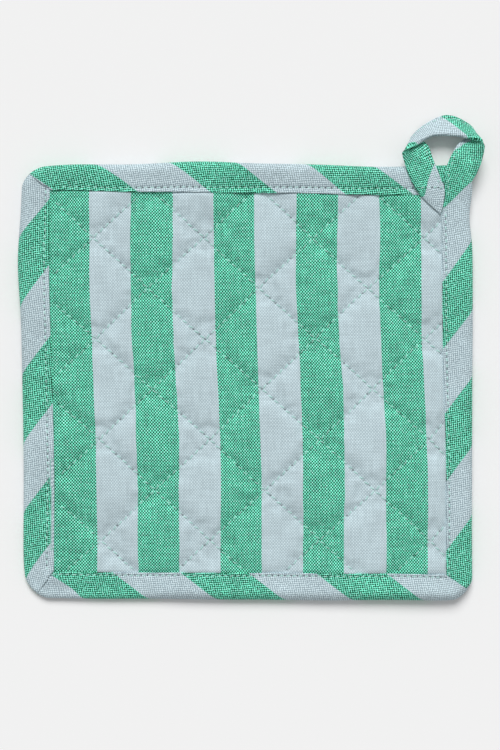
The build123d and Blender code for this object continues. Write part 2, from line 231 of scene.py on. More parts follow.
class NodeGraph:
    """A material's nodes, with short calls for the ones that this object needs."""

    def __init__(self, name: str) -> None:
        """Makes an empty material with a shader and an output.

        Args:
            name: Name of the material.
        """
        self.material = bpy.data.materials.new(name)
        self.material.use_nodes = True
        self.tree = self.material.node_tree
        self.shader = self.tree.nodes["Principled BSDF"]

    def add(self, kind: str, **settings: object) -> bpy.types.Node:
        """Adds a node of a kind with some of its settings.

        Args:
            kind: Kind of the node.
            **settings: Values of the node's own settings.

        Returns:
            The new node.
        """
        node = self.tree.nodes.new(kind)
        for setting, value in settings.items():
            setattr(node, setting, value)
        return node

    def put(self, value: object, socket: bpy.types.NodeSocket) -> None:
        """Links an output to a socket, or sets the socket to a plain value.

        Args:
            value: An output, a number or a colour.
            socket: The socket that takes it.
        """
        if isinstance(value, bpy.types.NodeSocket):
            self.tree.links.new(value, socket)
        else:
            socket.default_value = value

    def math(self, operation: str, first: object, second: object = 0.0) -> bpy.types.NodeSocket:
        """Adds a step of arithmetic with one or two numbers.

        Args:
            operation: What is done with the numbers.
            first: A number or an output.
            second: A number or an output, where the operation takes two.

        Returns:
            The output with the result.
        """
        node = self.add("ShaderNodeMath", operation=operation)
        self.put(first, node.inputs[0])
        self.put(second, node.inputs[1])
        return node.outputs[0]

    def span(self, value: object, low: float, high: float, start: float, end: float) -> bpy.types.NodeSocket:
        """Carries a value from the range low to high into the range start to end, eased.

        Args:
            value: A number or an output.
            low: Value that gives the start.
            high: Value that gives the end.
            start: Result at low and below.
            end: Result at high and above.

        Returns:
            The output with the result.
        """
        node = self.add("ShaderNodeMapRange", interpolation_type="SMOOTHSTEP")
        for socket, number in zip(node.inputs, (value, low, high, start, end)):
            self.put(number, socket)
        return node.outputs[0]

    def mix(self, share: object, first: object, second: object, blend: str = "MIX") -> bpy.types.NodeSocket:
        """Mixes two colours by a share.

        Args:
            share: How much of the second colour there is, from 0 to 1.
            first: A colour or an output.
            second: A colour or an output.
            blend: How the colours are put together.

        Returns:
            The output with the mixed colour.
        """
        node = self.add("ShaderNodeMix", data_type="RGBA", blend_type=blend)
        colour_sockets = [socket for socket in node.inputs if socket.type == "RGBA"]
        self.put(share, node.inputs[0])
        self.put(first, colour_sockets[0])
        self.put(second, colour_sockets[1])
        return next(socket for socket in node.outputs if socket.type == "RGBA")

    def noise(self, place: object, scale: float, detail: float = 2.0) -> bpy.types.NodeSocket:
        """Adds cloudy noise over a place.

        Args:
            place: Output with the place.
            scale: Clouds per unit of the place.
            detail: How many finer layers are added.

        Returns:
            The output with values of 0 to 1.
        """
        node = self.add("ShaderNodeTexNoise")
        self.put(place, node.inputs["Vector"])
        node.inputs["Scale"].default_value = scale
        node.inputs["Detail"].default_value = detail
        return node.outputs["Fac"]

    def sway(self, place: object, scale: float, detail: float, reach: float) -> bpy.types.NodeSocket:
        """Adds cloudy noise about zero that goes up to half of reach to either side."""
        off_middle = self.math("SUBTRACT", self.noise(place, scale, detail), 0.5)
        return self.math("MULTIPLY", off_middle, reach)

    def place(self, across: object, along: object) -> bpy.types.NodeSocket:
        """Joins two numbers into a place.

        Args:
            across: A number or an output.
            along: A number or an output.

        Returns:
            The output with the place.
        """
        node = self.add("ShaderNodeCombineXYZ")
        self.put(across, node.inputs[0])
        self.put(along, node.inputs[1])
        return node.outputs[0]

    def cloth_place(self) -> tuple[bpy.types.NodeSocket, bpy.types.NodeSocket]:
        """Gives the flat place on the cloth, across and along its warp, in metres.

        Returns:
            The output with the place across and the one with the place along.
        """
        flat = self.add("ShaderNodeUVMap", uv_map=CLOTH_MAP)
        parts = self.add("ShaderNodeSeparateXYZ")
        self.put(flat.outputs[0], parts.inputs[0])
        return parts.outputs[0], parts.outputs[1]

    def relief(self, height: object, strength: float, depth: float) -> None:
        """Raises the surface by a height of 0 to 1 over a depth in metres.

        Args:
            height: Output with the height.
            strength: How strongly the relief shows, from 0 to 1.
            depth: Depth of the relief.
        """
        node = self.add("ShaderNodeBump")
        node.inputs["Strength"].default_value = strength
        node.inputs["Distance"].default_value = depth
        self.put(height, node.inputs["Height"])
        self.put(node.outputs[0], self.shader.inputs["Normal"])


@dataclass(frozen=True)
class YarnPair:
    """The yarn tones that show in one stripe of the cloth, as linear colours.

    The fleck is a paler weft tone mixed in at random where the thread bulges most, partly open fibre
    and partly a painted highlight, and the slub is how strongly thick and thin threads show.
    """

    warp: tuple[float, float, float, float]
    weft: tuple[float, float, float, float]
    fleck: tuple[float, float, float, float]
    slub: float


@dataclass(frozen=True)
class StripedCotton:
    """Plain-woven cotton in two stripes of equal width, with the stripes along the warp.

    Most rates count clouds of noise per thread, and the patch rate counts them per metre. A pair of
    roughness values is for the gaps and the crowns of the threads.
    """

    stripe: float = 19.2 * MM
    stripe_blur: float = 0.025
    warp_thread: float = 0.65 * MM
    weft_thread: float = 0.74 * MM
    sea_green: YarnPair = YarnPair(
        warp=(0.0005, 0.085, 0.036, 1),
        weft=(0.245, 1.000, 0.720, 1),
        fleck=(0.490, 1.000, 0.870, 1),
        slub=0.34,
    )
    pale_blue: YarnPair = YarnPair(
        warp=(0.420, 0.531, 0.580, 1),
        weft=(0.630, 0.762, 0.802, 1),
        fleck=(0.680, 0.810, 0.845, 1),
        slub=0.12,
    )
    warp_cover: float = 0.03
    crossing_blur: float = 0.12
    # The gap shade is painted shade that darkens the cloth in the gaps between threads.
    painted_shade_in_gaps: float = 0.90
    slub_length: float = 16
    slub_rate: float = 1.1
    wander: float = 0.7
    wander_rates: tuple[float, float] = (0.085, 0.110)
    jitter: float = 0.3
    jitter_rate: float = 1.0
    fleck_highlight_rate: float = 0.8
    fleck_highlight_range: tuple[float, float] = (0.48, 0.70)
    patch_rate: float = 45
    patch_detail: float = 3
    patch_shades: tuple[float, float] = (0.95, 1.04)
    shade: float = 1.0
    # The hole range and hole shade set the painted shade in the needle holes.
    hole_range: tuple[float, float] = (0.2, 0.9)
    painted_shade_in_holes: float = 0.28
    roughness: tuple[float, float] = (0.97, 0.84)
    gloss: float = 0.06
    sheen: float = 0.05
    sheen_roughness: float = 0.5
    weave_height: float = 0.12 * MM
    weave_strength: float = 0.35

    def material(self, name: str) -> bpy.types.Material:
        """Makes the cloth's material.

        Args:
            name: Name of the material.

        Returns:
            The material, which reads the piece's cloth map.
        """
        graph = NodeGraph(name)
        across, along = graph.cloth_place()
        threads = graph.place(
            graph.math("DIVIDE", across, self.warp_thread), graph.math("DIVIDE", along, self.weft_thread)
        )
        over, bulge = self.weave(graph, across, along, threads)
        stripe_wave = graph.math("SINE", graph.math("MULTIPLY", across, math.pi / self.stripe))
        blue = graph.span(stripe_wave, -self.stripe_blur, self.stripe_blur, 0, 1)
        # Paler flecks on the weft's crowns: partly open fibre, partly a painted highlight where the thread
        # bulges most.
        fleck_and_highlight = graph.span(graph.noise(threads, self.fleck_highlight_rate, 0), *self.fleck_highlight_range, 0, 1)
        fleck_and_highlight = graph.math("MULTIPLY", fleck_and_highlight, bulge)
        warp = graph.mix(blue, self.sea_green.warp, self.pale_blue.warp)
        wefts = [graph.mix(fleck_and_highlight, yarn.weft, yarn.fleck) for yarn in (self.sea_green, self.pale_blue)]
        colour = graph.mix(over, graph.mix(blue, *wefts), warp)
        # Multiplies in the tone, with the painted shade of the gaps between threads and of the needle holes.
        colour = graph.mix(1.0, colour, self.tone(graph, across, along, bulge, blue), "MULTIPLY")
        graph.put(colour, graph.shader.inputs["Base Color"])
        graph.put(graph.span(bulge, 0, 1, *self.roughness), graph.shader.inputs["Roughness"])
        graph.shader.inputs["Specular IOR Level"].default_value = self.gloss
        graph.shader.inputs["Sheen Weight"].default_value = self.sheen
        graph.shader.inputs["Sheen Roughness"].default_value = self.sheen_roughness
        graph.relief(bulge, self.weave_strength, self.weave_height)
        return graph.material

    def weave(
        self, graph: NodeGraph, across: object, along: object, threads: object
    ) -> tuple[object, object]:
        """Finds the yarns at each place, which wander a little and vary in thickness.

        Args:
            graph: The material's nodes.
            across: Place across the warp.
            along: Place along the warp.
            threads: The same place, counted in threads.

        Returns:
            Which yarn lies on top, 1 for the warp, and how far its thread bulges.
        """
        waves = []
        systems = zip((across, along), (self.warp_thread, self.weft_thread), self.wander_rates)
        for place, thread, rate in systems:
            count = graph.math("DIVIDE", place, thread)
            turn = graph.math("ADD", count, graph.sway(threads, rate, 1, self.wander))
            waves.append(graph.math("SINE", graph.math("MULTIPLY", turn, math.pi)))
        crossing = graph.math("MULTIPLY", *waves)
        topmost = graph.math("ADD", crossing, graph.sway(threads, self.jitter_rate, 0, self.jitter))
        low, high = -self.crossing_blur - self.warp_cover, self.crossing_blur - self.warp_cover
        over = graph.span(topmost, low, high, 0, 1)
        bulge = graph.math("SQRT", graph.math("ABSOLUTE", crossing))
        return over, bulge

    def tone(self, graph: NodeGraph, across: object, along: object, bulge: object, blue: object) -> object:
        """Gives the tone of thick and thin threads and worn patches, with painted shade in the gaps between
        threads and in the needle holes.

        Args:
            graph: The material's nodes.
            across: Place across the warp.
            along: Place along the warp.
            bulge: How far the thread on top bulges.
            blue: 1 in the pale blue stripes and 0 in the others.

        Returns:
            The output with the tone and the painted shade, about 1 where nothing darkens the cloth.
        """
        # Painted shade in the gaps between threads, where the thread on top bulges least.
        shade = graph.span(bulge, 0, 1, self.painted_shade_in_gaps * self.shade, self.shade)
        strength = graph.span(blue, 0, 1, self.sea_green.slub, self.pale_blue.slub)
        for stretch_across, stretch_along in ((1, self.slub_length), (self.slub_length, 1)):
            place_across = graph.math("DIVIDE", across, self.warp_thread * stretch_across)
            place_along = graph.math("DIVIDE", along, self.weft_thread * stretch_along)
            slub = graph.noise(graph.place(place_across, place_along), self.slub_rate)
            uneven = graph.math("MULTIPLY", graph.span(slub, *NOISE_RANGE, -0.5, 0.5), strength)
            shade = graph.math("MULTIPLY", shade, graph.math("ADD", uneven, 1))
        patch = graph.noise(graph.place(across, along), self.patch_rate, self.patch_detail)
        shade = graph.math("MULTIPLY", shade, graph.span(patch, *NOISE_RANGE, *self.patch_shades))
        # Painted shade in the needle holes, as deep as the hole mark.
        hole = graph.add("ShaderNodeAttribute", attribute_name=NEEDLE_SHADE_MARK)
        shade_in_hole = graph.span(hole.outputs["Fac"], *self.hole_range, 1.0, self.painted_shade_in_holes)
        return graph.math("MULTIPLY", shade, shade_in_hole)


@dataclass(frozen=True)
class SpunThread:
    """Matt spun sewing thread, whose plies wind round it, with painted shade in the grooves between them."""

    colour: tuple[float, float, float, float] = (0.52, 0.85, 0.77, 1)
    # Colour of the painted shade in the grooves between the plies.
    painted_groove_shade: tuple[float, float, float, float] = (0.40, 0.67, 0.61, 1)
    lay: float = 0.45 * MM
    fuzz_rate: float = 900
    fuzz_range: tuple[float, float] = (0.2, 0.8)
    fuzz_shares: tuple[float, float] = (0.6, 1.0)
    roughness: tuple[float, float] = (0.95, 0.8)
    gloss: float = 0.2
    ply_height: float = 0.05 * MM
    ply_strength: float = 0.5

    def material(self, name: str) -> bpy.types.Material:
        """Makes the thread's material, which reads the place along and around the thread.

        Args:
            name: Name of the material.

        Returns:
            The material.
        """
        graph = NodeGraph(name)
        along, around = graph.cloth_place()
        wound = graph.math("ADD", graph.math("MULTIPLY", along, 2 * math.pi / self.lay), around)
        ply = graph.span(graph.math("SINE", wound), -1, 1, 0, 1)
        fuzz = graph.noise(graph.place(along, around), self.fuzz_rate)
        share = graph.math("MULTIPLY", ply, graph.span(fuzz, *self.fuzz_range, *self.fuzz_shares))
        # The darker colour is painted shade in the grooves between the plies, varied by random fuzz.
        graph.put(graph.mix(share, self.painted_groove_shade, self.colour), graph.shader.inputs["Base Color"])
        graph.put(graph.span(ply, 0, 1, *self.roughness), graph.shader.inputs["Roughness"])
        graph.shader.inputs["Specular IOR Level"].default_value = self.gloss
        graph.relief(ply, self.ply_strength, self.ply_height)
        return graph.material


@dataclass(frozen=True)
class LoftedWadding:
    """Off-white lofted cotton wadding."""

    colour: tuple[float, float, float, float] = (0.78, 0.76, 0.70, 1)
    fleck: tuple[float, float, float, float] = (0.55, 0.50, 0.42, 1)
    fleck_rate: float = 1500
    fleck_range: tuple[float, float] = (0.62, 0.72)
    fleck_share: float = 0.6
    tuft_rate: float = 400
    tuft_detail: float = 4
    tuft_height: float = 0.5 * MM
    tuft_strength: float = 0.6
    roughness: tuple[float, float] = (1.0, 0.9)
    gloss: float = 0.1

    def material(self, name: str) -> bpy.types.Material:
        """Makes the wadding's material.

        Args:
            name: Name of the material.

        Returns:
            The material.
        """
        graph = NodeGraph(name)
        place = graph.place(*graph.cloth_place())
        tuft = graph.noise(place, self.tuft_rate, self.tuft_detail)
        flecks = graph.span(graph.noise(place, self.fleck_rate), *self.fleck_range, 0, self.fleck_share)
        graph.put(graph.mix(flecks, self.colour, self.fleck), graph.shader.inputs["Base Color"])
        graph.put(graph.span(tuft, *NOISE_RANGE, *self.roughness), graph.shader.inputs["Roughness"])
        graph.shader.inputs["Specular IOR Level"].default_value = self.gloss
        graph.relief(tuft, self.tuft_strength, self.tuft_height)
        return graph.material


# Plan of the pad

@dataclass(frozen=True)
class TapeSide:
    """One side of the binding, run counterclockwise, with values at both of its ends.

    The width is the lip's distance from the pad's edge, and the row is the stitches' distance from
    the lip. The fold is the angle of the fold at the first corner, from the way out of the side
    before, and the corner lift is how much higher the tape's shoulder stands there. The phase shifts
    the stripes, and the start and end shifts add to it near the two corners. The pull is how hard the
    stitches draw the tape in, and the lip drop is how far its lip is rounded down. The last field is
    the stretch of the run along which a thin line of the pale stripe shows along the lip, set a
    little lower.
    """

    name: str
    corner: tuple[int, int]
    along: tuple[int, int]
    inward: tuple[int, int]
    width_start: float
    width_end: float
    row_start: float
    row_end: float
    phase: float
    fold: float
    corner_lift: float = 0.0
    pull: float = 1.0
    lip_drop: float = 0.30 * MM
    start_shift: float = 0.0
    end_shift: float = 0.0
    pale_lip_line: tuple[float, float] = (0.0, 0.0)


@dataclass(frozen=True)
class EdgeBulge:
    """A stretch of a side that lies further out than straight, or further in below zero."""

    side: str
    run: float
    reach: float
    out: float


@dataclass
class PadPlan:
    """The pad's outline, the window inside its binding and the lean of its cloth."""

    width: float = 210 * MM
    length: float = 202 * MM
    corner_radius: float = 11.5 * MM
    drift: float = 3.2 * MM
    drift_top: float = 55 * MM
    drift_bottom: float = -45 * MM
    drift_fade: float = 27 * MM
    drift_left: float = 0.3
    wobble: float = 0.35 * MM
    wobble_length: float = 70 * MM
    wobble_seeds: tuple[int, int] = (11, 12)
    cover_ply: float = 0.6 * MM
    stitch: float = 2.9 * MM
    # Half width and taper of the needle-hole marks, which set the painted shade in the holes.
    hole_half: float = 0.45 * MM
    hole_taper: float = 1.5
    thin_edge: float = 2.2 * MM
    thin_lean: float = 2.4 * MM
    thin_reach: float = 75 * MM
    sides: tuple[TapeSide, ...] = (
        TapeSide(
            "top", corner=(1, 1), along=(-1, 0), inward=(0, -1),
            width_start=14.3 * MM, width_end=12.0 * MM, row_start=3.5 * MM, row_end=1.3 * MM,
            phase=-8.8 * MM, fold=45, pull=1.8, lip_drop=0.08 * MM,
            start_shift=-7.0 * MM, end_shift=-3.3 * MM,
        ),
        TapeSide(
            "left", corner=(-1, 1), along=(0, -1), inward=(1, 0),
            width_start=13.4 * MM, width_end=13.4 * MM, row_start=1.8 * MM, row_end=3.1 * MM,
            phase=-1.2 * MM, fold=48, pale_lip_line=(136 * MM, 178 * MM),
        ),
        TapeSide(
            "bottom", corner=(-1, -1), along=(1, 0), inward=(0, 1),
            width_start=13.6 * MM, width_end=12.6 * MM, row_start=1.3 * MM, row_end=1.3 * MM,
            phase=4.9 * MM, fold=54, corner_lift=-1.7 * MM, start_shift=-1.9 * MM,
        ),
        TapeSide(
            "right", corner=(1, -1), along=(0, 1), inward=(-1, 0),
            width_start=15.2 * MM, width_end=15.5 * MM, row_start=1.7 * MM, row_end=1.9 * MM,
            phase=14.0 * MM, fold=56, corner_lift=0.3 * MM,
        ),
    )
    bulges: tuple[EdgeBulge, ...] = (
        EdgeBulge("top", run=125 * MM, reach=26 * MM, out=1.5 * MM),
        EdgeBulge("left", run=44 * MM, reach=20 * MM, out=1.6 * MM),
        EdgeBulge("left", run=202 * MM, reach=12 * MM, out=-2.0 * MM),
        EdgeBulge("bottom", run=5 * MM, reach=55 * MM, out=-1.2 * MM),
        EdgeBulge("bottom", run=210 * MM, reach=9 * MM, out=-1.5 * MM),
        EdgeBulge("top", run=210 * MM, reach=16 * MM, out=-1.5 * MM),
        EdgeBulge("right", run=90 * MM, reach=150 * MM, out=-1.1 * MM),
        EdgeBulge("right", run=178 * MM, reach=10 * MM, out=-1.5 * MM),
        EdgeBulge("top", run=105 * MM, reach=200 * MM, out=0.3 * MM),
        EdgeBulge("top", run=40 * MM, reach=25 * MM, out=-1.0 * MM),
        EdgeBulge("bottom", run=105 * MM, reach=60 * MM, out=-0.6 * MM),
    )
    bulge_depth: float = 16 * MM
    centre: Vector = field(init=False)
    seam_top: float = field(init=False)
    seam_under: float = field(init=False)
    unevenness: tuple[SoftNoise, ...] = field(init=False)

    def __post_init__(self) -> None:
        """Reads the pad's place and heights from the frame."""
        front_low, front_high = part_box("front_cover")
        self.centre = (front_low + front_high) / 2
        self.seam_top = front_low.z + self.cover_ply
        self.seam_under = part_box("back_cover")[1].z - self.cover_ply
        self.unevenness = tuple(SoftNoise(seed, self.wobble_length) for seed in self.wobble_seeds)

    @property
    def middle(self) -> float:
        """Height of the middle of the pad's sewn layers."""
        return (self.seam_top + self.seam_under) / 2

    def seam(self, face: Face) -> float:
        """Gives the height of the seams on a face of the pad."""
        return self.seam_top if face is Face.FRONT else self.seam_under

    def side_length(self, side: TapeSide) -> float:
        """Gives the length of a side over the binding."""
        return self.width if side.along[0] else self.length

    def from_side(
        self, side: TapeSide, run: np.ndarray, inset: np.ndarray
    ) -> tuple[np.ndarray, np.ndarray]:
        """Gives the flat place of a point that lies run along a side and inset from its edge.

        Args:
            side: The side.
            run: Places along the side.
            inset: Distances in from the pad's edge.

        Returns:
            The flat X and Y.
        """
        start = (side.corner[0] * self.width / 2, side.corner[1] * self.length / 2)
        ways = zip(start, side.along, side.inward)
        return tuple(place + along * run + inward * inset for place, along, inward in ways)

    def to_side(self, side: TapeSide, x: np.ndarray, y: np.ndarray) -> tuple[np.ndarray, np.ndarray]:
        """Gives the run along a side and the inset from its edge of a flat place.

        Args:
            side: The side.
            x: Flat places along X.
            y: Flat places along Y.

        Returns:
            The run along the side and the inset from the pad's edge.
        """
        off_x = x - side.corner[0] * self.width / 2
        off_y = y - side.corner[1] * self.length / 2
        run = off_x * side.along[0] + off_y * side.along[1]
        return run, off_x * side.inward[0] + off_y * side.inward[1]

    def lip_inset(self, side: TapeSide, run: np.ndarray) -> np.ndarray:
        """Gives how far the tape's inner lip lies from the pad's edge, along a side."""
        share = run / self.side_length(side)
        return side.width_start + (side.width_end - side.width_start) * share

    def row_share(self, side: TapeSide, run: np.ndarray) -> np.ndarray:
        """Gives where the topstitching lies along a side, as a share of the way from edge to lip.

        Args:
            side: The side.
            run: Places along the side.

        Returns:
            The share at each place, 0 at the pad's edge and 1 at the lip.
        """
        share = run / self.side_length(side)
        row = side.row_start + (side.row_end - side.row_start) * share
        return 1 - row / self.lip_inset(side, run)

    def shade_in_hole(self, side: TapeSide, run: np.ndarray, off_row: np.ndarray) -> np.ndarray:
        """Gives how far places along a side lie in the needle holes of its row, from 0 to 1."""
        # The mark sets the painted shade in and around each hole.
        along = np.clip(np.cos(2 * math.pi * run / self.stitch), 0, 1) ** (self.hole_taper / side.pull)
        return along * np.exp(-((off_row / self.hole_half) ** 2))

    def inside_lips(self, x: np.ndarray, y: np.ndarray) -> np.ndarray:
        """Gives the distance from the nearest lip, below zero where the binding covers the place.

        Args:
            x: Flat places along X.
            y: Flat places along Y.

        Returns:
            The distance at each place.
        """
        depth = np.full(np.shape(x), np.inf)
        for side in self.sides:
            run, inset = self.to_side(side, x, y)
            depth = np.minimum(depth, inset - self.lip_inset(side, run))
        return depth

    def turn_folds(self, x: np.ndarray, y: np.ndarray) -> tuple[np.ndarray, np.ndarray]:
        """Turns the corner folds of the tape about the inner corners, within the same outline.

        Args:
            x: Flat places along X.
            y: Flat places along Y.

        Returns:
            The places along X and Y, with those in the corners turned.
        """
        for number, side in enumerate(self.sides):
            wide = self.sides[number - 1].width_end
            deep = side.width_start
            run, inset = self.to_side(side, x, y)
            out_before, out_side = wide - run, deep - inset
            in_corner = (out_before > 0) & (out_side > 0)
            angle = np.arctan2(out_side, out_before)
            diagonal = math.atan2(deep, wide)
            ease = angle / diagonal * (math.pi / 2 - angle) / (math.pi / 2 - diagonal)
            turned = angle + (math.radians(side.fold) - diagonal) * ease
            grown = self.corner_reach(turned, wide, deep) / self.corner_reach(angle, wide, deep)
            distance = np.hypot(out_before, out_side) * grown
            run = np.where(in_corner, wide - distance * np.cos(turned), run)
            inset = np.where(in_corner, deep - distance * np.sin(turned), inset)
            x, y = self.from_side(side, run, inset)
        return x, y

    def corner_reach(self, angle: np.ndarray, wide: float, deep: float) -> np.ndarray:
        """Gives the distance from an inner corner of the lips to the rounded outline, at an angle.

        Args:
            angle: Angles from the way out of the side before.
            wide: Width of the side before.
            deep: Width of the side after the corner.

        Returns:
            The distance at each angle.
        """
        cosine, sine = np.maximum(np.cos(angle), TINY), np.maximum(np.sin(angle), TINY)
        straight = np.minimum(wide / cosine, deep / sine)
        centre = (wide - self.corner_radius, deep - self.corner_radius)
        towards = cosine * centre[0] + sine * centre[1]
        spread = towards**2 - centre[0] ** 2 - centre[1] ** 2 + self.corner_radius**2
        rounded = towards + np.sqrt(np.maximum(spread, 0))
        on_arc = (straight * cosine > centre[0]) & (straight * sine > centre[1])
        return np.where(on_arc, rounded, straight)

    def round_corners(self, x: np.ndarray, y: np.ndarray) -> tuple[np.ndarray, np.ndarray]:
        """Draws the square corners of flat cloth in, to the rounded corners of the outline.

        Args:
            x: Flat places along X.
            y: Flat places along Y.

        Returns:
            The same places, with the corners eased in.
        """
        past_x = np.maximum(np.abs(x) - (self.width / 2 - self.corner_radius), 0)
        past_y = np.maximum(np.abs(y) - (self.length / 2 - self.corner_radius), 0)
        in_corner = (past_x > 0) & (past_y > 0)
        drawn_in = np.maximum(past_x, past_y) / np.maximum(np.hypot(past_x, past_y), TINY)
        kept = np.where(in_corner, drawn_in, 1)
        return x - np.sign(x) * past_x * (1 - kept), y - np.sign(y) * past_y * (1 - kept)

    def press(self, x: np.ndarray, y: np.ndarray, height: np.ndarray) -> np.ndarray:
        """Presses heights down towards the floor, where the pad thins out to its bottom edge.

        Args:
            x: Flat places along X.
            y: Flat places along Y.
            height: Heights of an evenly thick pad.

        Returns:
            The heights in the frame.
        """
        near_edge = 1 - smooth_step(y + self.length / 2, 0, self.thin_reach)
        thinned = (self.thin_edge - self.thin_lean * x / self.width) * near_edge
        return height - thinned * np.clip(height / self.seam_top, 0, 1)

    def lay(self, x: np.ndarray, y: np.ndarray) -> tuple[np.ndarray, np.ndarray]:
        """Lays flat places down in the frame, with the cloth's lean and its uneven edges.

        Args:
            x: Flat places along X.
            y: Flat places along Y.

        Returns:
            The places along X and Y in the frame.
        """
        for bulge in self.bulges:
            side = next(side for side in self.sides if side.name == bulge.side)
            run, inset = self.to_side(side, x, y)
            out = bulge.out * np.exp(-(((run - bulge.run) / bulge.reach) ** 2))
            out = out * (1 - smooth_step(inset, 0, self.bulge_depth))
            x, y = x - side.inward[0] * out, y - side.inward[1] * out
        half = self.width / 2
        lean = self.drift * smooth_step(-y, -self.drift_top, -self.drift_bottom)
        lean *= 1 - smooth_step(x, half - self.drift_fade, half)
        lean *= self.drift_left + (1 - self.drift_left) * smooth_step(x, -half, -half + self.drift_fade)
        uneven_x, uneven_y = [self.wobble * noise.at(x, y) for noise in self.unevenness]
        return x + lean + uneven_x + self.centre.x, y + uneven_y + self.centre.y


@dataclass
class QuiltLattice:
    """The two families of quilting lines and the holes along them."""

    plan: PadPlan
    half_width: float = 25.4 * MM
    half_length: float = 23.3 * MM
    crossing: tuple[float, float] = (4.7 * MM, -2.6 * MM)
    cells_out: int = 6
    stitches_per_side: int = 10

    def place(self, rising: np.ndarray, falling: np.ndarray) -> tuple[np.ndarray, np.ndarray]:
        """Gives the flat place of a point counted in cell sides along both families.

        Args:
            rising: Count along the lines that rise to the right.
            falling: Count along the lines that fall to the right.

        Returns:
            The flat X and Y.
        """
        x = self.crossing[0] + (rising + falling) * self.half_width
        y = self.crossing[1] + (rising - falling) * self.half_length
        return x, y

    def rows(self, inset: float) -> list[tuple[np.ndarray, np.ndarray]]:
        """Gives the needle holes of each row of quilting inside the lips.

        Args:
            inset: How far inside the lips a row stops.

        Returns:
            The flat X and Y of each row's holes.
        """
        count = self.cells_out * self.stitches_per_side
        steps = np.arange(-count, count + 1) / self.stitches_per_side
        found = []
        for line in range(-self.cells_out, self.cells_out + 1):
            level = np.full(len(steps), float(line))
            for x, y in (self.place(steps, level), self.place(level, steps)):
                shown = self.plan.inside_lips(x, y) > inset
                if shown.sum() > 1:
                    found.append((x[shown], y[shown]))
        return found


# Covers and wadding

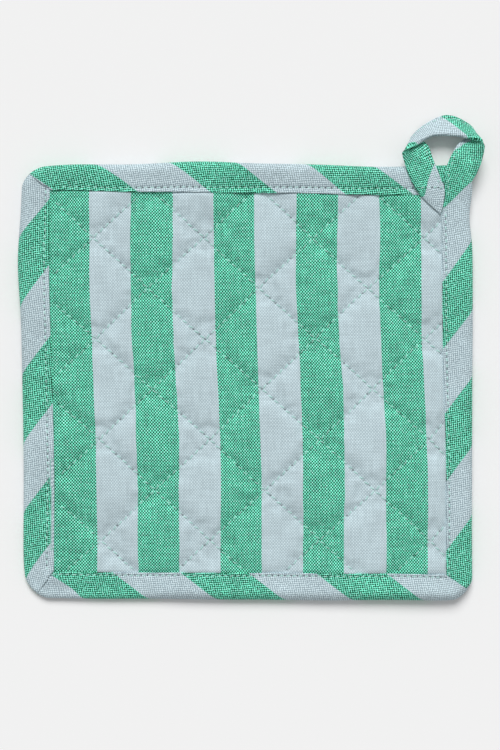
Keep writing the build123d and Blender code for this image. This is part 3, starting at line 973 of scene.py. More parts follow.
@dataclass
class QuiltedCover:
    """A striped cover, sewn down along the quilting and pushed out by the wadding between."""

    plan: PadPlan
    lattice: QuiltLattice
    face: Face
    steps: int
    puff: float
    seed: int
    cut: float = 1.1 * MM
    stripe_start: float = 73.2 * MM
    channel: float = 0.05 * MM
    hole: float = 1.0 * MM
    crease: float = 0.95 * MM
    fullness: float = 1.3 * MM
    spare_cloth: float = 0.03
    pressure: float = 60.0
    stretch_stiffness: float = 20.0
    fold_stiffness: float = 30.0
    frames: int = 9
    easing: int = 4
    quality: int = 5
    point_mass: float = 0.1
    shear_share: float = 0.3
    air_damping: float = 2.0
    flutter: float = 0.02 * MM
    puff_spread: float = 0.1
    puff_length: float = 60 * MM
    # Random depths of the needle-hole marks, which set the painted shade in the holes.
    needle_shade_depths: tuple[float, float] = (0.4, 1.0)

    def build(self, finish: bpy.types.Material) -> bpy.types.Object:
        """Builds the cover and dresses it.

        Args:
            finish: The striped cloth.

        Returns:
            The finished piece.
        """
        node = f"{self.face.name.lower()}_cover"
        rising, falling = self.grid()
        x, y = self.lattice.place(rising / self.steps, falling / self.steps)
        sewn, holes = self.sewn_points(rising, falling, x, y)
        height = self.start_height(rising, falling, sewn, holes)
        cloth = np.stack([x + self.stripe_start, y], axis=1)
        points = np.stack([x, y, height], axis=1)
        cover = mesh_object(node + "_cloth", points, self.faces(rising, falling), cloth)
        draw = np.random.default_rng(self.seed)
        # Marks the needle holes for their painted shade, at a random depth each.
        mark_needle_shade(cover, holes * draw.uniform(*self.needle_shade_depths, len(holes)))
        self.simulate(cover, sewn)
        self.lay_down(cover)
        smooth = cover.modifiers.new("smooth", "SUBSURF")
        smooth.levels = 1
        apply_modifiers(cover)
        settle(cover, "pad", finish, "cover_cloth", node)
        return cover

    def grid(self) -> tuple[np.ndarray, np.ndarray]:
        """Gives the grid points of the cut cloth, counted in steps along both families of lines.

        Returns:
            The counts of the points along the rising and the falling lines.
        """
        reach = self.lattice.cells_out * self.steps
        counts = np.arange(-reach, reach + 1)
        rising, falling = np.meshgrid(counts, counts, indexing="ij")
        x, y = self.lattice.place(rising / self.steps, falling / self.steps)
        half_width, half_length = self.plan.width / 2 - self.cut, self.plan.length / 2 - self.cut
        kept = (np.abs(x) <= half_width) & (np.abs(y) <= half_length)
        return rising[kept], falling[kept]

    def faces(self, rising: np.ndarray, falling: np.ndarray) -> list:
        """Gives the faces between neighbouring grid points, looking out of the pad.

        Args:
            rising: Counts of the grid points along the rising lines.
            falling: Counts of the grid points along the falling lines.

        Returns:
            The point numbers of each face.
        """
        reach = self.lattice.cells_out * self.steps
        number = np.full((2 * reach + 2, 2 * reach + 2), -1)
        number[rising + reach, falling + reach] = np.arange(len(rising))
        corners = [number[:-1, :-1], number[:-1, 1:], number[1:, 1:], number[1:, :-1]]
        faces = np.stack(corners, axis=-1).reshape(-1, 4)
        faces = faces[(faces >= 0).all(axis=1)]
        return faces.tolist()

    def sewn_points(
        self, rising: np.ndarray, falling: np.ndarray, x: np.ndarray, y: np.ndarray
    ) -> tuple[np.ndarray, np.ndarray]:
        """Finds the points that the quilting and the binding hold, and the needle holes among them.

        Args:
            rising: Counts of the grid points along the rising lines.
            falling: Counts of the grid points along the falling lines.
            x: Flat places along X.
            y: Flat places along Y.

        Returns:
            Whether each point is held, and whether it is a needle hole.
        """
        spacing = self.steps // self.lattice.stitches_per_side
        on_rising = falling % self.steps == 0
        on_falling = rising % self.steps == 0
        open_cloth = self.plan.inside_lips(x, y) > 0
        holes = (on_rising & (rising % spacing == 0)) | (on_falling & (falling % spacing == 0))
        return on_rising | on_falling | ~open_cloth, holes & open_cloth

    def start_height(
        self, rising: np.ndarray, falling: np.ndarray, sewn: np.ndarray, holes: np.ndarray
    ) -> np.ndarray:
        """Gives the cloth's height off the seam before the wadding pushes it out.

        Args:
            rising: Counts of the grid points along the rising lines.
            falling: Counts of the grid points along the falling lines.
            sewn: Which points are held.
            holes: Which points are needle holes.

        Returns:
            The height of each point.
        """
        vault = np.ones(len(rising))
        for steps in (rising, falling):
            share = (steps % self.steps) / self.steps
            vault *= 1 - (1 - 2 * share) ** 2
        draw = np.random.default_rng(self.seed)
        height = self.fullness * vault + self.flutter * draw.standard_normal(len(rising))
        height[sewn] = -self.channel
        height[holes] = -self.hole
        return height

    def simulate(self, cover: bpy.types.Object, sewn: np.ndarray) -> None:
        """Lets the wadding's pressure push the cloth out between the sewn lines.

        Args:
            cover: The cut cloth.
            sewn: Which of its points the stitches hold.
        """
        group = cover.vertex_groups.new(name="sewn")
        group.add(np.nonzero(sewn)[0].tolist(), 1.0, "REPLACE")
        cloth = cover.modifiers.new("cloth", "CLOTH")
        cloth.collision_settings.use_collision = False
        cloth.collision_settings.use_self_collision = False
        physics = cloth.settings
        physics.quality = self.quality
        physics.mass = self.point_mass
        physics.tension_stiffness = self.stretch_stiffness
        physics.compression_stiffness = self.stretch_stiffness
        physics.shear_stiffness = self.stretch_stiffness * self.shear_share
        physics.bending_stiffness = self.fold_stiffness
        physics.air_damping = self.air_damping
        physics.vertex_group_mass = group.name
        physics.use_pressure = True
        physics.uniform_pressure_force = self.pressure
        physics.shrink_min = -self.spare_cloth
        physics.effector_weights.gravity = 0.0
        for number in range(1, self.frames + 1):
            bpy.context.scene.frame_set(number)
        ease = cover.modifiers.new("ease", "SMOOTH")
        ease.vertex_group = group.name
        ease.invert_vertex_group = True
        ease.iterations = self.easing
        apply_modifiers(cover)
        cover.vertex_groups.clear()
        bpy.context.scene.frame_set(1)

    def lay_down(self, cover: bpy.types.Object) -> None:
        """Flattens the tops of the puffs and lays the cloth on its face of the pad.

        Args:
            cover: The cover.
        """
        points = np.empty(len(cover.data.vertices) * 3)
        cover.data.vertices.foreach_get("co", points)
        x, y, height = points.reshape(-1, 3).T
        x, y = self.plan.round_corners(x, y)
        uneven = self.puff_spread * SoftNoise(self.seed, self.puff_length).at(x, y)
        puff = self.puff * (1 + uneven)
        raised = puff * (1 - np.exp(-np.clip(height, 0, None) / self.crease))
        height = np.where(height > 0, raised, height)
        height = self.plan.press(x, y, self.plan.seam(self.face) + self.face.value * height)
        laid = np.stack([*self.plan.lay(x, y), height], axis=1)
        cover.data.vertices.foreach_set("co", laid.ravel())
        if self.face is Face.BACK:
            cover.data.flip_normals()
        cover.data.update()


@dataclass
class Wadding:
    """The lofted layer that fills the quilted cells between the covers."""

    plan: PadPlan
    lattice: QuiltLattice
    front_puff: float = 1.3 * MM
    back_puff: float = 0.7 * MM
    inset: float = 1.4 * MM
    spacing: float = 3.0 * MM
    swell_range: tuple[float, float] = (2 * MM, 8 * MM)

    def build(self, finish: bpy.types.Material) -> bpy.types.Object:
        """Builds the wadding as one closed body and dresses it.

        Args:
            finish: The lofted wadding.

        Returns:
            The finished piece.
        """
        half_width = self.plan.width / 2 - self.inset
        half_length = self.plan.length / 2 - self.inset
        columns = round(2 * half_width / self.spacing)
        rows = round(2 * half_length / self.spacing)
        across = np.linspace(-half_width, half_width, columns)
        along = np.linspace(-half_length, half_length, rows)
        x, y = np.meshgrid(across, along)
        x, y = self.plan.round_corners(x.ravel(), y.ravel())
        vault = self.vault(x, y)
        ply = self.plan.cover_ply
        top = self.plan.seam_top - 2 * ply + self.front_puff * vault
        under = self.plan.seam_under + 2 * ply - self.back_puff * vault
        laid_x, laid_y = self.plan.lay(x, y)
        levels = [self.plan.press(x, y, level) for level in (top, under)]
        points = np.concatenate([np.stack([laid_x, laid_y, level], axis=1) for level in levels])
        sheet = grid_faces(rows, columns)
        below = sheet[:, ::-1] + len(x)
        faces = sheet.tolist() + below.tolist() + self.walls(rows, columns)
        cloth = np.tile(np.stack([x, y], axis=1), (2, 1))
        wadding = mesh_object("wadding_layer", points, faces, cloth)
        settle(wadding, "pad", finish, "wadding", "wadding")
        return wadding

    def vault(self, x: np.ndarray, y: np.ndarray) -> np.ndarray:
        """Gives how full the cells are at flat places, from 0 on the seams to 1 in their middle.

        Args:
            x: Flat places along X.
            y: Flat places along Y.

        Returns:
            The fullness at each place.
        """
        across = (x - self.lattice.crossing[0]) / self.lattice.half_width
        along = (y - self.lattice.crossing[1]) / self.lattice.half_length
        full = smooth_step(self.plan.inside_lips(x, y), *self.swell_range)
        for count in ((across + along) / 2, (across - along) / 2):
            full = full * (1 - (1 - 2 * (count % 1)) ** 2)
        return full

    def walls(self, rows: int, columns: int) -> list:
        """Gives the faces that close the four edges between the two sheets.

        Args:
            rows: How many rows of points a sheet has.
            columns: How many points a row has.

        Returns:
            The point numbers of each face.
        """
        number = np.arange(rows * columns).reshape(rows, columns)
        ring = np.concatenate([number[0, :-1], number[:-1, -1], number[-1, :0:-1], number[:0:-1, 0]])
        after = np.roll(ring, -1)
        below = rows * columns
        return np.stack([ring, ring + below, after + below, after], axis=1).tolist()


# Stitches

@dataclass
class Stitching:
    """A row maker: each stitch is a short bent length of thread from hole to hole."""

    radius: float = 0.25 * MM
    rise: float = 0.18 * MM
    sink: float = 0.35 * MM
    slant: float = 0.28 * MM
    gap: float = 0.18
    stray: float = 0.10 * MM
    rings: int = 7
    sides: int = 6

    def build(self, name: str, starts: np.ndarray, ends: np.ndarray, ups: np.ndarray) -> bpy.types.Object:
        """Builds all stitches of a node as one piece.

        Args:
            name: Name of the piece.
            starts: Where each stitch leaves the cloth, one row each.
            ends: Where each stitch goes back into the cloth.
            ups: The way out of the cloth at each stitch.

        Returns:
            The piece, which is bare and rides on nothing yet.
        """
        starts, ends = starts + self.gap * (ends - starts), ends - self.gap * (ends - starts)
        ahead = unit(ends - starts)
        beside = unit(np.cross(ups, ahead))
        out = unit(np.cross(ahead, beside))
        stray = np.random.default_rng(len(starts)).normal(0, self.stray, (2, len(starts), 1))
        starts, ends = starts + beside * stray[0], ends + beside * stray[1]
        run = ends - starts
        share = np.linspace(0, 1, self.rings)
        bend = np.sqrt(np.sin(math.pi * share).clip(0))
        height = (self.rise + self.sink) * bend - self.sink
        core = starts[:, None] + run[:, None] * share[None, :, None]
        core = core + out[:, None] * height[None, :, None]
        core = core + beside[:, None] * (self.slant * (2 * share - 1))[None, :, None]
        turn = np.arange(self.sides + 1) / self.sides * 2 * math.pi
        spoke = beside[:, None] * np.cos(turn)[None, :, None] + out[:, None] * np.sin(turn)[None, :, None]
        points = core[:, :, None] + self.radius * spoke[:, None]
        along = np.linalg.norm(run, axis=1)[:, None, None] * share[None, :, None]
        cloth = np.stack(np.broadcast_arrays(along, turn[None, None, :]), axis=-1)
        stitch_faces = grid_faces(self.rings, self.sides + 1)
        first = np.arange(len(starts)) * self.rings * (self.sides + 1)
        faces = (first[:, None, None] + stitch_faces).reshape(-1, 4).tolist()
        ring = np.arange(self.sides)
        last = (self.rings - 1) * (self.sides + 1)
        for at in first:
            faces.append((at + ring[::-1]).tolist())
            faces.append((at + last + ring).tolist())
        piece = mesh_object(name, points.reshape(-1, 3), faces, cloth.reshape(-1, 2))
        weld(piece)
        return piece

    def sew_rows(self, name: str, rows: list, face: Face) -> bpy.types.Object:
        """Builds rows of stitches on a face of the pad.

        Args:
            name: Name of the piece.
            rows: The needle holes of each row.
            face: The face of the pad.

        Returns:
            The piece, which is bare and rides on nothing yet.
        """
        starts = np.concatenate([holes[:-1] for holes in rows])
        ends = np.concatenate([holes[1:] for holes in rows])
        ups = np.tile([0.0, 0.0, float(face.value)], (len(starts), 1))
        return self.build(name, starts, ends, ups)


def quilting_stitches(
    plan: PadPlan, lattice: QuiltLattice, cover: QuiltedCover, finish: bpy.types.Material
) -> bpy.types.Object:
    """Sews the quilting on one face of the pad.

    Args:
        plan: The pad's plan.
        lattice: The quilting lines.
        cover: The cover on that face.
        finish: The sewing thread.

    Returns:
        The finished piece.
    """
    rows = []
    level = plan.seam(cover.face) - cover.face.value * cover.channel
    for x, y in lattice.rows(inset=0.5 * MM):
        height = plan.press(x, y, np.full(len(x), level))
        rows.append(np.stack([*plan.lay(x, y), height], axis=1))
    node = f"quilting_thread_{cover.face.name.lower()}"
    stitching = Stitching(radius=0.19 * MM, rise=0.14 * MM)
    piece = stitching.sew_rows(node + "_stitches", rows, cover.face)
    settle(piece, "pad", finish, "sewing_thread", node)
    return piece


# Binding

@dataclass
class BiasCut:
    """How the tape was cut across the stripes of its cloth."""

    angle: float = math.radians(37.3)

    def cloth(self, run: np.ndarray, out: np.ndarray, phase: np.ndarray) -> np.ndarray:
        """Gives the flat place on the striped cloth.

        Args:
            run: Distance along the tape.
            out: Distance in from the tape's fold, below zero on its hidden half.
            phase: Shift across the stripes.

        Returns:
            The place across and along the stripes, on a last axis of two.
        """
        across = run * math.sin(self.angle) + out * math.cos(self.angle) + phase
        along = run * math.cos(self.angle) - out * math.sin(self.angle)
        return np.stack(np.broadcast_arrays(across, along), axis=-1)


@dataclass
class TapeSpots:
    """Places on one side of the binding, as arrays of one shape.

    The share runs from 0 at the pad's edge to 1 at the lip, and from_start and to_end are the
    distances to the folds at the side's two corners.
    """

    share: np.ndarray
    run: np.ndarray
    inset: np.ndarray
    from_start: np.ndarray
    to_end: np.ndarray


@dataclass
class EdgeBinding:
    """Bias tape folded over the pad's edge on four sides, each end folded over the next side.

    A pair of values gives where something starts and where it is complete. The pairs named rise, fall
    or fade are shares of the way from the pad's edge to the lip, and the others are distances.
    """

    plan: PadPlan
    cut: BiasCut
    tape_width: float = 12.5 * MM
    hem: float = 2.5 * MM
    ply: float = 0.9 * MM
    lift: float = 1.0 * MM
    inner_gap: float = 0.25 * MM
    table_gap: float = 0.05 * MM
    roll: float = 3.6 * MM
    roll_power: float = 2.4
    rolled_share: float = 0.36
    rolled_steps: int = 9
    flat_steps: int = 13
    lip_steps: int = 7
    inner_steps: int = 8
    inner_start: float = 0.075
    curve_points: int = 400
    steps_per_stitch: int = 6
    corner_steps: int = 8
    fold_steps: tuple[float, ...] = (0.0, 0.2 * MM, 0.4 * MM, 0.7 * MM, 1.0 * MM)
    row_passes: int = 4
    stitch_inset: float = 1.8 * MM
    stitch_height: float = 0.1 * MM
    groove: float = 0.5 * MM
    groove_half: float = 0.8 * MM
    groove_wave: float = 0.3
    swell: float = 0.45 * MM
    swell_end: float = 0.84
    crest: float = 0.8 * MM
    crest_rise: tuple[float, float] = (0.0, 0.3)
    crest_fall: tuple[float, float] = (0.25, 0.88)
    crest_from_loop: tuple[float, float] = (28 * MM, 48 * MM)
    corner_lift_reach: tuple[float, float] = (25 * MM, 75 * MM)
    hem_swell: float = 0.22 * MM
    hem_half: float = 0.9 * MM
    lip_fall: tuple[float, float] = (0.96, 1.0)
    lip_line_width: float = 1.4 * MM
    lip_line_drop: float = 0.12 * MM
    lip_line_shift: float = 3 * MM
    fold_height: float = 0.75 * MM
    fold_reach: float = 2.5 * MM
    fold_round: float = 0.45 * MM
    fold_fade: tuple[float, float] = (0.15, 0.45)
    tuck: float = 0.7 * MM
    tuck_reach: float = 1.2 * MM
    start_shift_reach: tuple[float, float] = (20 * MM, 30 * MM)
    end_shift_reach: tuple[float, float] = (-48 * MM, -16 * MM)
    ripple_height: float = 0.09 * MM
    ripple_fade: tuple[float, float] = (0.2, 0.5)
    sway_height: float = 0.15 * MM
    ripple: SoftNoise = field(default_factory=lambda: SoftNoise(seed=31, wavelength=9 * MM))
    sway: SoftNoise = field(default_factory=lambda: SoftNoise(seed=32, wavelength=55 * MM))

    def neighbours(self) -> list[tuple[TapeSide, TapeSide, TapeSide]]:
        """Gives each side with the one before it and the one after it."""
        sides = self.plan.sides
        return list(zip(sides, sides[-1:] + sides[:-1], sides[1:] + sides[:1]))

    def half_height(self, inset: np.ndarray, ply: float) -> np.ndarray:
        """Gives the tape's height off the pad's middle, ply below its outer face.

        Args:
            inset: Distances in from the pad's edge.
            ply: Depth under the tape's outer face.

        Returns:
            The height at each place.
        """
        level = (self.plan.seam_top - self.plan.seam_under) / 2 + self.lift - ply
        share = np.clip(1 - (inset - ply) / (self.roll - ply), 0, 1)
        return level * (1 - share**self.roll_power) ** (1 / self.roll_power)

    def section(self) -> tuple[np.ndarray, np.ndarray, np.ndarray]:
        """Gives the tape's section along a closed outline.

        Returns:
            The shares of the tape's width, 1 for the front or -1 for the back, and whether the
            place is on the outer face of the tape.
        """
        rolled = (1 - np.cos(np.linspace(0, math.pi / 2, self.rolled_steps))) * self.rolled_share
        row = 1 - self.stitch_inset / self.tape_width
        to_row = np.linspace(self.rolled_share, row, self.flat_steps)[1:]
        to_lip = np.linspace(row, 1, self.lip_steps)[1:]
        outer = np.concatenate([rolled, to_row, to_lip])
        inner = np.linspace(self.inner_start, 1, self.inner_steps)
        shares, faces = [], []
        for half in (outer, inner):
            shares.append(np.concatenate([half[::-1], half[1:]]))
            faces.append(np.concatenate([np.ones(len(half)), -np.ones(len(half) - 1)]))
        shares[1], faces[1] = shares[1][::-1], faces[1][::-1]
        outside = np.concatenate([np.ones(len(shares[0]), bool), np.zeros(len(shares[1]), bool)])
        outline = (np.concatenate(shares), np.concatenate(faces), outside)
        return tuple(np.append(values, values[:1]) for values in outline)

    def way_round(self, share: np.ndarray, face: np.ndarray, width: float) -> np.ndarray:
        """Gives the distance along the tape's curve in from its fold, below zero on the back.

        Args:
            share: Shares of the way from the pad's edge to the lip.
            face: 1 for places on the front and -1 for the back.
            width: Width of the tape.

        Returns:
            The distance at each place.
        """
        fine = np.linspace(0, 1, self.curve_points)
        steps = np.hypot(np.diff(fine * width), np.diff(self.half_height(fine * width, 0.0)))
        length = np.concatenate([[0], np.cumsum(steps)])
        spare = length[-1] - width
        return face * np.interp(share, fine, length) - spare

    def build(self, finish: bpy.types.Material) -> bpy.types.Object:
        """Builds the four sides as one piece and dresses it.

        Args:
            finish: The striped tape.

        Returns:
            The finished piece.
        """
        points, cloth, holes, faces, used = [], [], [], [], 0
        for neighbours in self.neighbours():
            grid, flat, shade_in_hole = self.side_strip(*neighbours)
            faces += tube_faces(*shade_in_hole.shape, used)
            points.append(grid.reshape(-1, 3))
            cloth.append(flat.reshape(-1, 2))
            holes.append(shade_in_hole.ravel())
            used += shade_in_hole.size
        piece = mesh_object("edge_binding_tape", np.concatenate(points), faces, np.concatenate(cloth))
        mark_needle_shade(piece, np.concatenate(holes))
        weld(piece)
        settle(piece, "pad", finish, "binding_tape", "edge_binding")
        return piece

    def side_strip(
        self, side: TapeSide, before: TapeSide, after: TapeSide
    ) -> tuple[np.ndarray, np.ndarray, np.ndarray]:
        """Builds one side from fold to fold.

        Args:
            side: The side.
            before: The side before it.
            after: The side after it.

        Returns:
            The points, their places on the cloth and how far they lie in a needle hole, by station
            along the side and section point.
        """
        share, face, outside = self.section()
        spots = self.spots(side, before, after, share)
        x, y = self.plan.from_side(side, spots.run, spots.inset)
        level = np.where(outside, self.outer_height(side, spots, face), self.inner_height(side, spots))
        level = level + self.unevenness(share, x, y)
        flat_x, flat_y = self.plan.turn_folds(x, y)
        x, y = self.plan.lay(flat_x, flat_y)
        height = self.plan.press(flat_x, flat_y, self.plan.middle + face * level)
        height = np.maximum(height, self.table_gap)
        run, inset = self.plan.to_side(side, flat_x, flat_y)
        out = self.way_round(inset / self.plan.lip_inset(side, run), face, side.width_start)
        out = out * self.laid_share(side, run)
        past_end = run - self.plan.side_length(side)
        phase = side.phase + side.start_shift * (1 - smooth_step(run, *self.start_shift_reach))
        phase = phase + side.end_shift * smooth_step(past_end, *self.end_shift_reach)
        # How far each point lies in a needle hole, for the painted shade in the holes.
        shade_in_hole = self.plan.shade_in_hole(side, spots.run, self.off_row(side, spots)) * outside
        cloth = self.cut.cloth(run, out, phase)
        # Along that stretch the outer face next to the lip takes its place on the cloth from the pale
        # stripe.
        bare = self.lip_line_shows(side, spots) & outside & (face > 0)
        cloth[..., 0] = np.where(bare, spots.inset - self.lip_line_shift, cloth[..., 0])
        return np.stack([x, y, height], axis=-1), cloth, shade_in_hole

    def lip_line_shows(self, side: TapeSide, spots: TapeSpots) -> np.ndarray:
        """Tells which places of a side lie on the thin line of the pale stripe that shows along its lip.

        Args:
            side: The side.
            spots: Places on the side.

        Returns:
            Whether each place is on the bare hem.
        """
        start, end = side.pale_lip_line
        from_lip = (1 - spots.share) * self.plan.lip_inset(side, spots.run)
        return (spots.run > start) & (spots.run < end) & (from_lip < self.lip_line_width)

    def off_row(self, side: TapeSide, spots: TapeSpots) -> np.ndarray:
        """Gives the distance of places on the tape from the row of stitches, above zero nearer the lip."""
        return (spots.share - self.plan.row_share(side, spots.run)) * self.plan.lip_inset(side, spots.run)

    def laid_share(self, side: TapeSide, run: np.ndarray) -> np.ndarray:
        """Gives how wide the tape lies once the cloth has leaned, as a share of its first width.

        Args:
            side: The side.
            run: Places along the side.

        Returns:
            The share at each place.
        """
        inset = self.plan.lip_inset(side, run)
        edge = self.plan.lay(*self.plan.from_side(side, run, np.zeros(run.shape)))
        lip = self.plan.lay(*self.plan.from_side(side, run, inset))
        return np.hypot(lip[0] - edge[0], lip[1] - edge[1]) / side.width_start

    def spots(self, side: TapeSide, before: TapeSide, after: TapeSide, share: np.ndarray) -> TapeSpots:
        """Places the section along a side, gathered into its two corners.

        Args:
            side: The side.
            before: The side before it.
            after: The side after it.
            share: The section's shares of the way from the pad's edge to the lip.

        Returns:
            The places, by station along the side and section point.
        """
        length, radius = self.plan.side_length(side), self.plan.corner_radius
        turn = np.linspace(math.pi / 4, 0, self.corner_steps, endpoint=False)
        near = np.array(self.fold_steps) / length
        step = self.plan.stitch / self.steps_per_stitch
        first_step = math.ceil(before.width_end / step) + 1
        last_step = math.floor((length - after.width_start) / step)
        row = np.arange(first_step, last_step) * step
        sewn = row / length
        for _ in range(self.row_passes):
            stitched = self.plan.row_share(side, sewn * length)
            first, last = stitched * before.width_end, length - stitched * after.width_start
            sewn = (row - first) / (last - first)
        straight = np.concatenate([near, sewn, 1 - near[::-1]])
        angle = np.concatenate([turn, np.zeros(len(straight)), turn[::-1]])[:, None]
        along = np.concatenate([np.zeros(len(turn)), straight, np.ones(len(turn))])[:, None]
        share = self.to_row(share, self.plan.row_share(side, along * length))
        inset = share * self.plan.lip_inset(side, along * length)
        inset_before, inset_after = share * before.width_end, share * after.width_start
        first = np.maximum(radius, inset_before)
        last = length - np.maximum(radius, inset_after)
        run = first + (last - first) * along
        gathered = np.where(along < 0.5, inset_before, inset_after)
        reach = np.sin(angle) * np.maximum(radius - gathered, 0)
        run = np.where(along < 0.5, run - reach, run + reach)
        inset = np.where(inset < radius, radius - np.cos(angle) * (radius - inset), inset)
        share = np.broadcast_to(share, run.shape)
        return TapeSpots(share, run, inset, run - inset_before, length - inset_after - run)

    def to_row(self, share: np.ndarray, row: np.ndarray) -> np.ndarray:
        """Moves the section's shares so that its stitched place lies on the row.

        Args:
            share: The section's shares of the way from the pad's edge to the lip.
            row: The row's share along the side.

        Returns:
            The moved shares.
        """
        stitched = 1 - self.stitch_inset / self.tape_width
        past_row = 1 - (1 - share) * (1 - row) / (1 - stitched)
        return np.where(share < stitched, share * row / stitched, past_row)

    def outer_height(self, side: TapeSide, spots: TapeSpots, face: np.ndarray) -> np.ndarray:
        """Gives the outer face's height off the pad's middle, with its stitched groove and folds.

        Args:
            side: The side.
            spots: Places on the side.
            face: 1 for places on the front and -1 for the back.

        Returns:
            The height at each place.
        """
        place = spots.share * side.width_start
        pulled = self.groove * (1 + side.pull) / 2
        pulled = pulled * np.exp(-((self.off_row(side, spots) / self.groove_half) ** 2))
        in_stitch = np.cos(2 * math.pi * spots.run / self.plan.stitch)
        pulled = pulled * (1 - self.groove_wave + self.groove_wave * in_stitch)
        hem = self.hem_swell * np.exp(-(((place - side.width_start) / self.hem_half) ** 2))
        lip = side.lip_drop * smooth_step(spots.share, *self.lip_fall)
        lip = lip + self.lip_line_drop * self.lip_line_shows(side, spots) * (face > 0)
        raised = self.swelling(side, spots, face) + hem - pulled - lip
        return self.half_height(place, 0.0) + raised + self.folding(spots)

    def swelling(self, side: TapeSide, spots: TapeSpots, face: np.ndarray) -> np.ndarray:
        """Gives how far the tape swells, with a crest near its fold on the front, away from the loop.

        Args:
            side: The side.
            spots: Places on the side.
            face: 1 for places on the front and -1 for the back.

        Returns:
            The height of the swelling at each place.
        """
        swell = self.swell * np.sin(math.pi * np.clip(spots.share / self.swell_end, 0, 1)) ** 2
        crest = self.shoulder(side, spots.run) * smooth_step(spots.share, *self.crest_rise)
        crest = crest * (1 - smooth_step(spots.share, *self.crest_fall))
        crested = smooth_step(self.from_loop(side, spots.run), *self.crest_from_loop) * (face > 0)
        return swell + (crest - swell) * crested

    def folding(self, spots: TapeSpots) -> np.ndarray:
        """Gives how far the tape stands up at the fold of its end and is tucked in at its start.

        Args:
            spots: Places on a side.

        Returns:
            The height that the folds add at each place.
        """
        to_end, from_start = np.clip(spots.to_end, 0, None), np.clip(spots.from_start, 0, None)
        folded = self.fold_height * np.exp(-to_end / self.fold_reach)
        rounded = (self.fold_height + self.tuck) * np.exp(-((to_end / self.fold_round) ** 2))
        tucked = self.tuck * np.exp(-from_start / self.tuck_reach)
        return smooth_step(spots.share, *self.fold_fade) * (folded - rounded - tucked)

    def shoulder(self, side: TapeSide, run: np.ndarray) -> np.ndarray:
        """Gives how far the tape's shoulder stands up along a side, eased into its two corners.

        Args:
            side: The side.
            run: Places along the side.

        Returns:
            The height at each place.
        """
        sides = self.plan.sides
        after = sides[(sides.index(side) + 1) % len(sides)]
        height = self.crest
        for corner, distance in ((side, run), (after, self.plan.side_length(side) - run)):
            height = height + corner.corner_lift * (1 - smooth_step(distance, *self.corner_lift_reach))
        return height

    def from_loop(self, side: TapeSide, run: np.ndarray) -> np.ndarray:
        """Gives the distance along the tape from the corner with the hanging loop.

        Args:
            side: The side.
            run: Places along the side.

        Returns:
            The distance at each place, or the pad's width on the two sides that don't meet the loop.
        """
        if side.name == "right":
            return self.plan.side_length(side) - run
        return run if side.name == "top" else np.full(np.shape(run), self.plan.width)

    def inner_height(self, side: TapeSide, spots: TapeSpots) -> np.ndarray:
        """Gives the inner face's height off the pad's middle."""
        return self.half_height(spots.share * side.width_start, self.ply) - self.inner_gap

    def unevenness(self, share: np.ndarray, x: np.ndarray, y: np.ndarray) -> np.ndarray:
        """Gives the tape's puckers and its slow rise and fall."""
        pucker = self.ripple_height * smooth_step(share, *self.ripple_fade) * self.ripple.at(x, y)
        return pucker + self.sway_height * self.sway.at(x, y)

    def row(self, side: TapeSide, face: Face, start: float, end: float) -> np.ndarray:
        """Gives the needle holes of the topstitching along part of a side.

        Args:
            side: The side.
            face: The face of the pad.
            start: Run along the side of the first hole.
            end: Run along the side that the row stops at.

        Returns:
            The holes on the tape, one row each.
        """
        stitch = self.plan.stitch
        run = np.arange(math.ceil(start / stitch) * stitch, end, stitch)
        share = self.plan.row_share(side, run)
        inset = share * self.plan.lip_inset(side, run)
        away = np.full(len(run), self.plan.width)
        x, y = self.plan.from_side(side, run, inset)
        level = self.outer_height(side, TapeSpots(share, run, inset, away, away), face.value)
        level = level + self.unevenness(share, x, y)
        level = self.plan.middle + face.value * (level + self.stitch_height)
        height = self.plan.press(x, y, level)
        return np.stack([*self.plan.lay(x, y), height], axis=1)

    def sew(self, face: Face, loop: "HangingLoop", finish: bpy.types.Material) -> bpy.types.Object:
        """Sews the topstitching on one face of the pad.

        Args:
            face: The face of the pad.
            loop: The hanging loop, whose sewn end the front row crosses.
            finish: The sewing thread.

        Returns:
            The finished piece.
        """
        rows = []
        for side, before, after in self.neighbours():
            start = before.width_end - before.row_end
            end = self.plan.side_length(side) - after.width_start + after.row_start
            if face is Face.FRONT and side.name == "right":
                end -= loop.tail_length
            holes = self.row(side, face, start, end)
            if face is Face.FRONT and side.name == "top":
                holes[:, 2] += loop.lift_over(holes)
            rows.append(holes)
        node = f"binding_thread_{face.name.lower()}"
        piece = Stitching().sew_rows(node + "_stitches", rows, face)
        settle(piece, "pad", finish, "sewing_thread", node)
        return piece


# Hanging loop

@dataclass(frozen=True)
class TapeStation:
    """A place along the loop's tape, in millimetres from the middle of the pad.

    The stripe is the place across the cloth's stripes at the tape's fold, where it is known.
    """

    folded: tuple[float, float, float]
    stitched: tuple[float, float, float]
    thickness: float = 2.0
    stripe: float = math.nan


